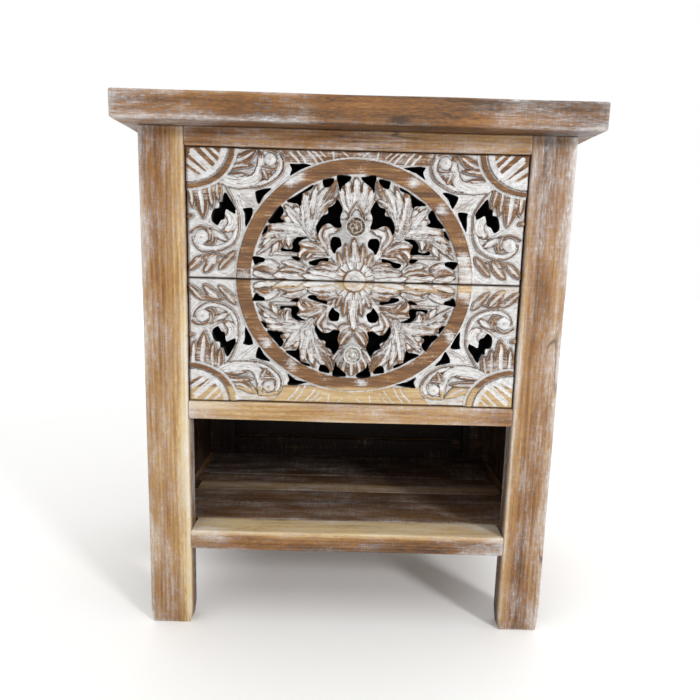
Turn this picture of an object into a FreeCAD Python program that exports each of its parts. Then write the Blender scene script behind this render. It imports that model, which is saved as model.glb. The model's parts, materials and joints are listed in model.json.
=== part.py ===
import FreeCAD, Part
import math
import os

import Sketcher

# Two-drawer nightstand with pierced, carved drawer fronts and an open shelf, in millimetres.
# The front faces -Y and +Z is up. The origin is on the floor, under the middle of the top.

SIZES = {
    # Drawer fronts and the gaps round them
    "front_width": 364,
    "front_height": 136.7,
    "front_side_gap": 2,
    "front_gap": 1.2,
    "carved_thickness": 15,
    # Posts, overhangs and the depth between the front and rear faces of the posts
    "leg_width": 48,
    "leg_depth": 26,
    "body_depth": 300,
    "overhang_front": 30,
    "overhang_rear": 20,
    "overhang_side": 18,
    "top_thickness": 28,
    # Heights from the floor up
    "floor_clearance": 96,
    "shelf_rail_height": 23,
    "shelf_opening": 135,
    "mid_rail_height": 21,
    "top_rail_height": 20,
    # Rails
    "rail_thickness": 22,
    "shelf_rail_depth": 37,
    "rear_rail_rise": 28,
    "side_rail_thickness": 25,
    "side_rail_inset": 2,
    "side_top_rail_height": 40,
    "edge_ease": 1.5,
    # Tenons, grooves and their fits
    "tenon_length": 20,
    "tenon_thickness": 9,
    "tenon_setback": 8,
    "tenon_wall": 1,
    "side_tenon_length": 14,
    "glue_gap": 0.1,
    "groove_depth": 5,
    "groove_room": 0.2,
    # Panels and shelf
    "panel_thickness": 8,
    "panel_inset": 2,
    "back_thickness": 8,
    "back_inset": 8,
    "shelf_thickness": 15,
    "shelf_board_width": 90,
    "rebate_width": 10,
    # Runners, guides, kickers and stops
    "runner_thickness": 14,
    "runner_rise": 8,
    "runner_gap": 0.3,
    "runner_bearing": 14,
    "runner_front_gap": 1,
    "runner_stub": 6,
    "runner_stub_inset": 4,
    "guide_height": 12,
    "guide_gap": 1,
    "kicker_width": 40,
    "kicker_gap": 3,
    "stop_height": 10,
    "stop_gap": 0.3,
    # Drawer boxes
    "box_height": 120,
    "drawer_depth": 262,
    "box_side_gap": 4,
    "inner_front_thickness": 10,
    "drawer_side_thickness": 12,
    "drawer_back_thickness": 12,
    "drawer_back_inset": 6,
    "housing_depth": 4,
    "bottom_thickness": 5,
    "bottom_raise": 8,
    # Carving on the fronts
    "relief_depth": 3,
    "ring_outer_radius": 131,
    "ring_inner_radius": 111.5,
    "rosette_radius": 18,
    "corner_radius": 50,
    "knob_seat_radius": 10,
    "edge_hole": 10,
    "edge_hole_margin": 1.5,
    "field_hole": 18,
    "field_hole_row": 76,
    "core_hole": 10,
    "core_hole_row": 46,
    "spandrel_hole": 9,
    "scroll_hole": 16,
    "scroll_hole_row": 163,
    # Knobs
    "knob_height": 58,
    "knob_radius": 9,
    "knob_base_radius": 7,
    "knob_neck_radius": 5.5,
    "knob_length": 13,
    # Screws and nails
    "screw_diameter": 4,
    "screw_head": 8,
    "screw_head_height": 2.5,
    "screw_room": 0.2,
    "screw_inset": 20,
    "front_screw_across": 55,
    "front_screw_clearance": 4,
    "screw_bite": 10,
    "knob_screw_bite": 8,
    "counterbore_depth": 12,
    "nail_diameter": 1.6,
    "nail_head": 4,
    "nail_head_height": 1,
    "nail_bite": 15,
    "nail_spacing": 120,
}

SIDES = ("left", "right")
TOP_BOARDS = ("front", "middle", "rear")
PANEL_BOARDS = 3

# Angles of the piercings above the split between the drawers, and of the screws behind the ring
EDGE_HOLE_ANGLES = (11, 38, 54, 73, 82.5)
FIELD_HOLE_ANGLES = (29, 69)
CORE_HOLE_ANGLES = (26, 62)
SPANDREL_HOLE_ANGLES = (30, 41, 62.5)
SCROLL_HOLE_ANGLE = 27
RING_SCREW_ANGLE = 22

# Places across, from the centre line outwards
HALF_OPENING = "(Sizes.front_width / 2 + Sizes.front_side_gap)"
HALF_BODY = f"({HALF_OPENING} + Sizes.leg_width)"
HALF_TOP = f"({HALF_BODY} + Sizes.overhang_side)"
PANEL_OUTER = f"({HALF_BODY} - Sizes.panel_inset)"
PANEL_INNER = f"({PANEL_OUTER} - Sizes.panel_thickness)"
SIDE_TENON_OUTER = f"({PANEL_INNER} - Sizes.tenon_wall)"
SIDE_TENON_INNER = f"({SIDE_TENON_OUTER} - Sizes.tenon_thickness)"
SIDE_RAIL_OUTER = f"({HALF_BODY} - Sizes.side_rail_inset)"
SIDE_RAIL_INNER = f"({SIDE_RAIL_OUTER} - Sizes.side_rail_thickness)"
SHELF_END = f"({SIDE_RAIL_INNER} + Sizes.rebate_width)"
HALF_BOX = f"({HALF_OPENING} - Sizes.box_side_gap)"
BOX_INNER = f"({HALF_BOX} - Sizes.drawer_side_thickness)"
RUNNER_INNER = f"({HALF_BOX} - Sizes.runner_bearing)"
GUIDE_INNER = f"({HALF_BOX} + Sizes.guide_gap)"

# Places in depth, from the front to the back
FRONT = "((Sizes.overhang_front - Sizes.overhang_rear - Sizes.body_depth) / 2)"
REAR = f"({FRONT} + Sizes.body_depth)"
TOP_FRONT = f"({FRONT} - Sizes.overhang_front)"
TOP_DEPTH = "(Sizes.overhang_front + Sizes.body_depth + Sizes.overhang_rear)"
FRONT_LEG_BACK = f"({FRONT} + Sizes.leg_depth)"
REAR_LEG_FRONT = f"({REAR} - Sizes.leg_depth)"
SIDE_LENGTH = f"({REAR_LEG_FRONT} - {FRONT_LEG_BACK})"
CARVED_BACK = f"({FRONT} + Sizes.carved_thickness)"
INNER_FRONT_BACK = f"({CARVED_BACK} + Sizes.inner_front_thickness)"
RUNNER_FRONT = f"max({FRONT_LEG_BACK}; {INNER_FRONT_BACK} + Sizes.runner_front_gap)"
BOX_REAR = f"({FRONT} + Sizes.drawer_depth)"
STOP_FRONT = f"({BOX_REAR} + Sizes.stop_gap)"
DRAWER_BACK_REAR = f"({BOX_REAR} - Sizes.drawer_back_inset)"
DRAWER_BACK_FRONT = f"({DRAWER_BACK_REAR} - Sizes.drawer_back_thickness)"
BACK_FRONT = f"({REAR} - Sizes.back_inset - Sizes.back_thickness)"

# Heights above the floor. The drawers stand apart by the taller of a front or a box on its runner.
RUNNER_ROOM = "(Sizes.runner_thickness + Sizes.runner_gap + Sizes.kicker_gap)"
DRAWER_SPACING = f"max(Sizes.front_height + Sizes.front_gap; Sizes.box_height + {RUNNER_ROOM})"
SHELF_LEVEL = "(Sizes.floor_clearance + Sizes.shelf_rail_height)"
MID_RAIL_UNDER = f"({SHELF_LEVEL} + Sizes.shelf_opening)"
LOWER_FRONT = f"({MID_RAIL_UNDER} + Sizes.mid_rail_height + Sizes.front_gap)"
UPPER_FRONT = f"({LOWER_FRONT} + {DRAWER_SPACING})"
TOP_RAIL_UNDER = f"({UPPER_FRONT} + {DRAWER_SPACING})"
LEG_HEIGHT = f"({TOP_RAIL_UNDER} + Sizes.top_rail_height)"
SIDE_TOP_UNDER = f"({LEG_HEIGHT} - Sizes.side_top_rail_height)"
REAR_RAIL_LEVEL = f"({SHELF_LEVEL} + Sizes.rear_rail_rise)"
BOX_RISE = "(Sizes.runner_rise + Sizes.runner_gap)"
KICKER_UNDER = f"({UPPER_FRONT} + {BOX_RISE} + Sizes.box_height + Sizes.kicker_gap)"
FLOOR_RISE = f"({BOX_RISE} + Sizes.bottom_raise + Sizes.bottom_thickness)"
TENON_SHOULDER = "(Sizes.groove_depth + Sizes.tenon_wall)"
RING_MIDDLE = "((Sizes.ring_outer_radius + Sizes.ring_inner_radius) / 2)"
SCREW_REACH = f"(Sizes.front_height + Sizes.front_gap / 2 - {FLOOR_RISE})"
FAR_SCREW = f"({SCREW_REACH} - Sizes.screw_head / 2 - Sizes.front_screw_clearance)"
TONGUE = "(Sizes.groove_depth - Sizes.groove_room)"

doc = FreeCAD.newDocument("Nightstand")
sheet = doc.addObject("Spreadsheet::Sheet", "Sizes")
for row, (alias, value) in enumerate(SIZES.items(), start=1):
    sheet.set(f"A{row}", str(value))
    sheet.setAlias(f"A{row}", alias)
doc.recompute()

nodes = {}
leg_pockets = {(row, side): [] for row in ("front", "rear") for side in SIDES}


def keep(label, piece):
    """Name a finished piece, which its file takes too."""
    piece.Label = label
    nodes[label] = piece
    return piece


def number(expression):
    """The value that an expression has now."""
    return float(sheet.evalExpression(expression))


def place(piece, start):
    """Tie the place of a piece to expressions."""
    for axis, expression in zip("xyz", start):
        piece.setExpression(f"Placement.Base.{axis}", expression)


def block(name, start, extent):
    """A square-edged block from its lowest corner."""
    piece = doc.addObject("Part::Box", name)
    for side, expression in zip(("Length", "Width", "Height"), extent):
        piece.setExpression(side, expression)
    place(piece, start)
    return piece


def pin(name, start, axis, diameter, length):
    """A round pin that points along +Y or +Z."""
    piece = doc.addObject("Part::Cylinder", name)
    if axis == "y":
        piece.Placement.Rotation = FreeCAD.Rotation(FreeCAD.Vector(1, 0, 0), -90)
    piece.setExpression("Radius", f"{diameter} / 2")
    piece.setExpression("Height", length)
    place(piece, start)
    return piece


def fused(name, pieces):
    """One solid from pieces that meet or overlap."""
    piece = doc.addObject("Part::MultiFuse", name)
    piece.Shapes = pieces
    piece.Refine = True
    return piece


def cut(name, base, tools):
    """A piece less its pockets."""
    pockets = doc.addObject("Part::Compound", f"{name}_pockets")
    pockets.Links = tools
    piece = doc.addObject("Part::Cut", name)
    piece.Base = base
    piece.Tool = pockets
    return piece


def group(name, pieces):
    """Separate solids that share one node."""
    piece = doc.addObject("Part::Compound", name)
    piece.Links = pieces
    return piece


def grown(start, extent, room):
    """A block's places, larger by the room all round."""
    return [f"({s} - {room})" for s in start], [f"({e} + 2 * {room})" for e in extent]


def outward(side, inner, outer):
    """Start and extent across of what lies between two distances from the centre line."""
    start = f"-({outer})" if side == "left" else inner
    return start, f"({outer} - {inner})"


def signed(side, distance):
    """A place across, left or right of the centre line."""
    return f"-({distance})" if side == "left" else distance


def sketch_on(body, role, name):
    """An empty sketch on one of a body's own base planes."""
    sketch = body.newObject("Sketcher::SketchObject", name)
    plane = [feature for feature in body.Origin.OriginFeatures if feature.Role == role][0]
    sketch.AttachmentSupport = (plane, [""])
    sketch.MapMode = "FlatFace"
    return sketch


def fix_point(sketch, geometry, position, across, up):
    """Tie a sketched point to its distances from the sketch's origin."""
    for kind, expression, axis in (("DistanceX", across, -2), ("DistanceY", up, -1)):
        value = number(expression)
        if abs(value) < 1e-9:
            sketch.addConstraint(Sketcher.Constraint("PointOnObject", geometry, position, axis))
            continue
        index = sketch.addConstraint(Sketcher.Constraint(kind, -1, 1, geometry, position, value))
        sketch.setExpression(f"Constraints[{index}]", expression)


def draw_polygon(sketch, points):
    """A closed outline of straight lines through points given as expressions."""
    corners = [FreeCAD.Vector(number(across), number(up), 0) for across, up in points]
    lines = []
    for here, there in zip(corners, corners[1:] + corners[:1]):
        lines.append(sketch.addGeometry(Part.LineSegment(here, there), False))
    for line, after in zip(lines, lines[1:] + lines[:1]):
        sketch.addConstraint(Sketcher.Constraint("Coincident", line, 2, after, 1))
    for line, (across, up) in zip(lines, points):
        fix_point(sketch, line, 1, across, up)


def draw_circle(sketch, across, up, radius):
    """A circle whose centre and radius are expressions."""
    centre = FreeCAD.Vector(number(across), number(up), 0)
    circle = Part.Circle(centre, FreeCAD.Vector(0, 0, 1), number(radius))
    index = sketch.addGeometry(circle, False)
    fix_point(sketch, index, 3, across, up)
    constraint = sketch.addConstraint(Sketcher.Constraint("Radius", index, number(radius)))
    sketch.setExpression(f"Constraints[{constraint}]", radius)


def board(name, start, extent):
    """A sawn board with all its edges eased."""
    body = doc.addObject("PartDesign::Body", name)
    outline = sketch_on(body, "XY_Plane", f"{name}_outline")
    length, width, height = extent
    draw_polygon(outline, [("0", "0"), (length, "0"), (length, width), ("0", width)])
    pad = body.newObject("PartDesign::Pad", f"{name}_pad")
    pad.Profile = outline
    pad.setExpression("Length", height)
    doc.recompute()
    ease = body.newObject("PartDesign::Fillet", f"{name}_ease")
    ease.Base = (pad, [f"Edge{i + 1}" for i in range(len(pad.Shape.Edges))])
    ease.setExpression("Radius", "Sizes.edge_ease")
    place(body, start)
    return body


def tenon(name, start, extent, leg):
    """The tongue on a rail's end. Its pocket in the leg is a glue gap larger all round."""
    leg_pockets[leg].append(block(f"{name}_pocket", *grown(start, extent, "Sizes.glue_gap")))
    return block(name, start, extent)


def groove(name, start, extent):
    """The slot for a panel's edge, a glue gap larger all round."""
    return block(name, *grown(start, extent, "Sizes.glue_gap"))


def cross_rail(label, row, thickness, bottom, height):
    """A rail between the left and right legs of the front or rear row, with a tenon at each end."""
    start = FRONT if row == "front" else f"({REAR} - {thickness})"
    tenon_start = f"({FRONT} + Sizes.tenon_setback)"
    if row == "rear":
        tenon_start = f"({REAR} - Sizes.tenon_setback - Sizes.tenon_thickness)"
    pieces = [board(f"{label}_blank", (f"-{HALF_OPENING}", start, bottom),
                    (f"2 * {HALF_OPENING}", thickness, height))]
    for side in SIDES:
        across, length = outward(side, HALF_OPENING, f"({HALF_OPENING} + Sizes.tenon_length)")
        pieces.append(tenon(f"{label}_tenon_{side}",
                            (across, tenon_start, f"({bottom} + {TENON_SHOULDER})"),
                            (length, "Sizes.tenon_thickness", f"({height} - 2 * {TENON_SHOULDER})"),
                            (row, side)))
    return fused(f"{label}_solid", pieces)


def side_rail(label, side, bottom, height):
    """A rail between the front and rear legs of one side, with a tenon at each end."""
    across, thickness = outward(side, SIDE_RAIL_INNER, SIDE_RAIL_OUTER)
    pieces = [board(f"{label}_blank", (across, FRONT_LEG_BACK, bottom), (thickness, SIDE_LENGTH, height))]
    tenon_across, tenon_width = outward(side, SIDE_TENON_INNER, SIDE_TENON_OUTER)
    ends = {"front": f"({FRONT_LEG_BACK} - Sizes.side_tenon_length)", "rear": REAR_LEG_FRONT}
    for row, start in ends.items():
        pieces.append(tenon(f"{label}_tenon_{row}",
                            (tenon_across, start, f"({bottom} + {TENON_SHOULDER})"),
                            (tenon_width, "Sizes.side_tenon_length", f"({height} - 2 * {TENON_SHOULDER})"),
                            (row, side)))
    return fused(f"{label}_solid", pieces)


def make_top():
    """Three planks side by side, butted edge to edge."""
    width = f"({TOP_DEPTH} / {len(TOP_BOARDS)})"
    for index, which in enumerate(TOP_BOARDS):
        start = (f"-{HALF_TOP}", f"({TOP_FRONT} + {index} * {width})", LEG_HEIGHT)
        plank = board(f"top_{which}_blank", start, (f"2 * {HALF_TOP}", width, "Sizes.top_thickness"))
        holes = []
        for side in SIDES:
            holes.append(pin(f"top_{which}_hole_{side}", top_screw_place(side, index, LEG_HEIGHT), "z",
                             "(Sizes.screw_diameter + 2 * Sizes.screw_room)",
                             "(Sizes.screw_bite + Sizes.screw_room)"))
        keep(f"top_board_{which}", cut(f"top_{which}_plank", plank, holes))


def make_front_rails():
    """The rails that frame the drawers and the open shelf."""
    top = cross_rail("front_top_rail", "front", "Sizes.rail_thickness", TOP_RAIL_UNDER,
                     "Sizes.top_rail_height")
    keep("front_top_rail", top)
    middle = cross_rail("front_mid_rail", "front", "Sizes.rail_thickness", MID_RAIL_UNDER,
                        "Sizes.mid_rail_height")
    keep("front_mid_rail", middle)
    shelf = cross_rail("front_shelf_rail", "front", "Sizes.shelf_rail_depth", "Sizes.floor_clearance",
                       "Sizes.shelf_rail_height")
    keep("front_shelf_rail", shelf)


def make_back():
    """The rear rails and the boards that stand in their grooves."""
    bottom = f"({REAR_RAIL_LEVEL} - {TONGUE})"
    height = f"({TOP_RAIL_UNDER} + {TONGUE} - {bottom})"
    half = f"({HALF_OPENING} + {TONGUE})"
    top = cross_rail("rear_top_rail", "rear", "Sizes.leg_depth", TOP_RAIL_UNDER, "Sizes.top_rail_height")
    shelf = cross_rail("rear_shelf_rail", "rear", "Sizes.leg_depth", "Sizes.floor_clearance",
                       f"({REAR_RAIL_LEVEL} - Sizes.floor_clearance)")
    for label, rail in (("rear_top_rail", top), ("rear_shelf_rail", shelf)):
        slot = groove(f"{label}_groove", (f"-{half}", BACK_FRONT, bottom),
                      (f"2 * {half}", "Sizes.back_thickness", height))
        keep(label, cut(f"{label}_grooved", rail, [slot]))
    for side in SIDES:
        across, width = outward(side, HALF_OPENING, half)
        leg_pockets["rear", side].append(groove(f"back_groove_{side}", (across, BACK_FRONT, bottom),
                                                (width, "Sizes.back_thickness", height)))
    share = f"({height} / {PANEL_BOARDS})"
    for index in range(PANEL_BOARDS):
        start = (f"-{half}", BACK_FRONT, f"({bottom} + {index} * {share})")
        keep(f"back_board_{index + 1}",
             board(f"back_{index + 1}", start, (f"2 * {half}", "Sizes.back_thickness", share)))


def make_side(side):
    """One side: two rails and the upright boards between them, with the shelf's rebate in the lower rail."""
    across, width = outward(side, PANEL_INNER, PANEL_OUTER)
    bottom = f"({SHELF_LEVEL} - {TONGUE})"
    height = f"({SIDE_TOP_UNDER} + {TONGUE} - {bottom})"
    start = f"({FRONT_LEG_BACK} - {TONGUE})"
    length = f"({SIDE_LENGTH} + 2 * {TONGUE})"
    top = side_rail(f"side_top_{side}", side, SIDE_TOP_UNDER, "Sizes.side_top_rail_height")
    shelf = side_rail(f"side_shelf_{side}", side, "Sizes.floor_clearance", "Sizes.shelf_rail_height")
    slots = [groove(f"side_slot_{which}_{side}", (across, start, bottom), (width, length, height))
             for which in ("top", "shelf")]
    rebate_across, rebate_width = outward(side, SIDE_RAIL_INNER, SHELF_END)
    rebate = block(f"shelf_rebate_{side}",
                   (rebate_across, FRONT_LEG_BACK, f"({SHELF_LEVEL} - Sizes.shelf_thickness)"),
                   (rebate_width, SIDE_LENGTH, "Sizes.shelf_thickness"))
    keep(f"side_top_rail_{side}", cut(f"side_top_{side}_grooved", top, slots[:1]))
    keep(f"side_shelf_rail_{side}", cut(f"side_shelf_{side}_grooved", shelf, [slots[1], rebate]))
    for row in ("front", "rear"):
        leg_pockets[row, side].append(groove(f"side_groove_{row}_{side}", (across, start, bottom),
                                             (width, length, height)))
    share = f"({length} / {PANEL_BOARDS})"
    for index in range(PANEL_BOARDS):
        place_here = (across, f"({start} + {index} * {share})", bottom)
        keep(f"side_board_{side}_{index + 1}",
             board(f"side_{side}_{index + 1}", place_here, (width, share, height)))


def make_shelf():
    """Three boards behind the front rail, flush with its top, whose ends lie in the side rails' rebates."""
    half = f"({SHELF_END} - Sizes.groove_room)"
    first = f"({FRONT} + Sizes.shelf_rail_depth)"
    second = f"({first} + Sizes.shelf_board_width)"
    third = f"({REAR_LEG_FRONT} - Sizes.shelf_board_width)"
    runs = {"front": (first, second), "middle": (second, third), "rear": (third, REAR_LEG_FRONT)}
    for which, (start, end) in runs.items():
        keep(f"shelf_board_{which}",
             board(f"shelf_{which}", (f"-{half}", start, f"({SHELF_LEVEL} - Sizes.shelf_thickness)"),
                   (f"2 * {half}", f"({end} - {start})", "Sizes.shelf_thickness")))


def make_runner(level, side, front_bottom):
    """An L-shaped runner: a ledge under the drawer's side, a guide beside it and a stub in each leg."""
    name = f"runner_{level}_{side}"
    top = f"({front_bottom} + Sizes.runner_rise)"
    bottom = f"({top} - Sizes.runner_thickness)"
    length = f"({REAR_LEG_FRONT} - {RUNNER_FRONT})"
    across, width = outward(side, RUNNER_INNER, PANEL_INNER)
    ledge = block(f"{name}_ledge", (across, RUNNER_FRONT, bottom), (width, length, "Sizes.runner_thickness"))
    guide_across, guide_width = outward(side, GUIDE_INNER, PANEL_INNER)
    guide = block(f"{name}_guide", (guide_across, RUNNER_FRONT, top),
                  (guide_width, length, "Sizes.guide_height"))
    stub_across, stub_width = outward(side, f"({HALF_OPENING} + Sizes.runner_stub_inset)",
                                      f"({PANEL_INNER} - Sizes.runner_stub_inset)")
    ends = {"front": (f"({FRONT_LEG_BACK} - Sizes.runner_stub)", f"({RUNNER_FRONT} - {FRONT_LEG_BACK})"),
            "rear": (REAR_LEG_FRONT, "0")}
    stubs = [tenon(f"{name}_stub_{row}", (stub_across, start, bottom),
                   (stub_width, f"(Sizes.runner_stub + {reach})", "Sizes.runner_thickness"), (row, side))
             for row, (start, reach) in ends.items()]
    keep(name, fused(f"{name}_solid", [ledge, guide] + stubs))


def make_stops():
    """Blocks on the runners' rear ends that the closed drawers meet."""
    pieces = []
    for level, front_bottom in (("upper", UPPER_FRONT), ("lower", LOWER_FRONT)):
        for side in SIDES:
            across, width = outward(side, BOX_INNER, HALF_BOX)
            pieces.append(block(f"stop_{level}_{side}",
                                (across, STOP_FRONT, f"({front_bottom} + Sizes.runner_rise)"),
                                (width, f"({REAR_LEG_FRONT} - {STOP_FRONT})", "Sizes.stop_height")))
    keep("drawer_stops", group("stops", pieces))


def top_screw_place(side, index, level):
    """Where the screw through a kicker enters the top's front, middle or rear plank."""
    first = f"({FRONT} + Sizes.rail_thickness + Sizes.screw_inset)"
    last = f"({REAR_LEG_FRONT} - Sizes.screw_inset)"
    depth = f"({first} + ({last} - {first}) * {index} / {len(TOP_BOARDS) - 1})"
    return (signed(side, f"({HALF_OPENING} - Sizes.kicker_width / 2)"), depth, level)


def make_kickers():
    """Battens between the front and rear rails, screwed up into the top."""
    screws = []
    seat = f"({KICKER_UNDER} + Sizes.counterbore_depth)"
    shank = f"({LEG_HEIGHT} - {seat} + Sizes.screw_bite)"
    for side in SIDES:
        across, width = outward(side, f"({HALF_OPENING} - Sizes.kicker_width)", HALF_OPENING)
        start = f"({FRONT} + Sizes.rail_thickness)"
        batten = block(f"kicker_{side}_batten", (across, start, KICKER_UNDER),
                       (width, f"({REAR_LEG_FRONT} - {start})", f"({LEG_HEIGHT} - {KICKER_UNDER})"))
        holes = []
        for index in range(len(TOP_BOARDS)):
            name = f"top_screw_{side}_{index + 1}"
            holes.append(pin(f"{name}_bore", top_screw_place(side, index, KICKER_UNDER), "z",
                             "(Sizes.screw_head + 2 * Sizes.screw_room)", "Sizes.counterbore_depth"))
            holes.append(pin(f"{name}_hole", top_screw_place(side, index, seat), "z",
                             "(Sizes.screw_diameter + 2 * Sizes.screw_room)", f"({LEG_HEIGHT} - {seat})"))
            head = pin(f"{name}_head", top_screw_place(side, index, f"({seat} - Sizes.screw_head_height)"),
                       "z", "Sizes.screw_head", "Sizes.screw_head_height")
            body = pin(f"{name}_shank", top_screw_place(side, index, seat), "z",
                       "Sizes.screw_diameter", shank)
            screws.append(fused(name, [head, body]))
        keep(f"kicker_{side}", cut(f"kicker_{side}_bored", batten, holes))
    keep("top_screws", group("top_screw_set", screws))


def make_legs():
    """Four posts with the pockets that the rails, panels and runners need."""
    for row, start in (("front", FRONT), ("rear", REAR_LEG_FRONT)):
        for side in SIDES:
            across, width = outward(side, HALF_OPENING, HALF_BODY)
            name = f"leg_{row}_{side}"
            post = board(f"{name}_post", (across, start, "0"), (width, "Sizes.leg_depth", LEG_HEIGHT))
            keep(name, cut(f"{name}_mortised", post, leg_pockets[row, side]))


def carved_panel(name, centre, upwards):
    """A front panel with a raised ring, corners, rosette and knob seat, and the main piercings.

    The sketches start from the medallion's centre, on the split between the drawers.
    """
    body = doc.addObject("PartDesign::Body", f"{name}_panel")
    up = "" if upwards else "-"
    near = f"({up}1 * Sizes.front_gap / 2)"
    far = f"({up}1 * (Sizes.front_gap / 2 + Sizes.front_height))"
    half = "(Sizes.front_width / 2)"
    outline = sketch_on(body, "XZ_Plane", f"{name}_outline")
    draw_polygon(outline, [(f"-{half}", near), (half, near), (half, far), (f"-{half}", far)])
    pad = body.newObject("PartDesign::Pad", f"{name}_pad")
    pad.Profile = outline
    pad.setExpression("Length", "Sizes.carved_thickness")
    doc.recompute()

    ground = sketch_on(body, "XZ_Plane", f"{name}_ground")
    ground.setExpression("AttachmentOffset.Base.z", "Sizes.carved_thickness")
    reach = "(Sizes.front_width / 2 + 2 * Sizes.corner_radius)"
    low = "-(Sizes.front_height + 2 * Sizes.corner_radius)"
    high = "(Sizes.front_height + 2 * Sizes.corner_radius)"
    draw_polygon(ground, [(f"-{reach}", low), (reach, low), (reach, high), (f"-{reach}", high)])
    for radius in ("Sizes.ring_outer_radius", "Sizes.ring_inner_radius", "Sizes.rosette_radius"):
        draw_circle(ground, "0", "0", radius)
    draw_circle(ground, "0", knob_offset(upwards), "Sizes.knob_seat_radius")
    for side in SIDES:
        draw_circle(ground, signed(side, half), far, "Sizes.corner_radius")
    cut_in(body, ground, "Sizes.relief_depth")

    holes = sketch_on(body, "XZ_Plane", f"{name}_piercings")
    holes.setExpression("AttachmentOffset.Base.z", "Sizes.carved_thickness")
    edge_row = "(Sizes.ring_inner_radius - Sizes.edge_hole_margin - Sizes.edge_hole / 2)"
    spandrel_row = "(Sizes.ring_outer_radius + Sizes.edge_hole_margin + Sizes.spandrel_hole / 2)"
    rows = ((EDGE_HOLE_ANGLES, edge_row, "Sizes.edge_hole"),
            (FIELD_HOLE_ANGLES, "Sizes.field_hole_row", "Sizes.field_hole"),
            (CORE_HOLE_ANGLES, "Sizes.core_hole_row", "Sizes.core_hole"),
            (SPANDREL_HOLE_ANGLES, spandrel_row, "Sizes.spandrel_hole"),
            ((SCROLL_HOLE_ANGLE,), "Sizes.scroll_hole_row", "Sizes.scroll_hole"))
    for angles, radius, diameter in rows:
        for angle in angles:
            for side in SIDES:
                draw_circle(holes, *on_ring(side, radius, angle, upwards), f"({diameter} / 2)")
    cut_in(body, holes, "Sizes.carved_thickness")
    place(body, ("0", CARVED_BACK, centre))
    return body


def on_ring(side, radius, angle, upwards):
    """A place at an angle above or below the split, on a circle round the medallion's centre."""
    across = f"({radius} * {math.cos(math.radians(angle)):.5f})"
    up = f"({radius} * {math.sin(math.radians(angle)):.5f})"
    return signed(side, across), up if upwards else f"-{up}"


def knob_offset(upwards):
    """The knob's height from the medallion's centre."""
    if upwards:
        return "(Sizes.front_gap / 2 + Sizes.knob_height)"
    return "-(Sizes.front_gap / 2 + Sizes.front_height - Sizes.knob_height)"


def cut_in(body, sketch, depth):
    """Cut a sketch into the panel from its face, and make sure that it took something away."""
    before = body.Shape.Volume
    pocket = body.newObject("PartDesign::Pocket", f"{sketch.Name}_cut")
    pocket.Profile = sketch
    pocket.Reversed = False
    pocket.setExpression("Length", depth)
    doc.recompute()
    if body.Shape.Volume > before - 1:
        raise RuntimeError(f"{sketch.Name} cut nothing")


def make_knob(name, height):
    """A small turned knob with a rim, a ring groove and a button, bored from behind for its screw."""
    body = doc.addObject("PartDesign::Body", f"{name}_turned")
    profile = sketch_on(body, "XY_Plane", f"{name}_profile")
    bore = "(Sizes.screw_diameter / 2 + Sizes.screw_room)"
    depth = "(Sizes.knob_screw_bite + Sizes.screw_room)"
    length = "Sizes.knob_length"
    radius = "Sizes.knob_radius"
    points = [(bore, "0"), ("Sizes.knob_base_radius", "0"), ("Sizes.knob_base_radius", f"({length} * 0.15)"),
              ("Sizes.knob_neck_radius", f"({length} * 0.3)"), (radius, f"({length} * 0.62)"),
              (radius, f"({length} * 0.85)"), (f"({radius} * 0.83)", f"({length} * 0.96)"),
              (f"({radius} * 0.67)", f"({length} * 0.89)"), (f"({radius} * 0.5)", f"({length} * 0.94)"),
              ("0", length), ("0", depth), (bore, depth)]
    draw_polygon(profile, points)
    turning = body.newObject("PartDesign::Revolution", f"{name}_turning")
    turning.Profile = profile
    turning.ReferenceAxis = (profile, ["V_Axis"])
    turning.Angle = 360
    body.Placement.Rotation = FreeCAD.Rotation(FreeCAD.Vector(0, 0, 1), 180)
    place(body, ("0", FRONT, height))
    keep(name, body)


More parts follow.
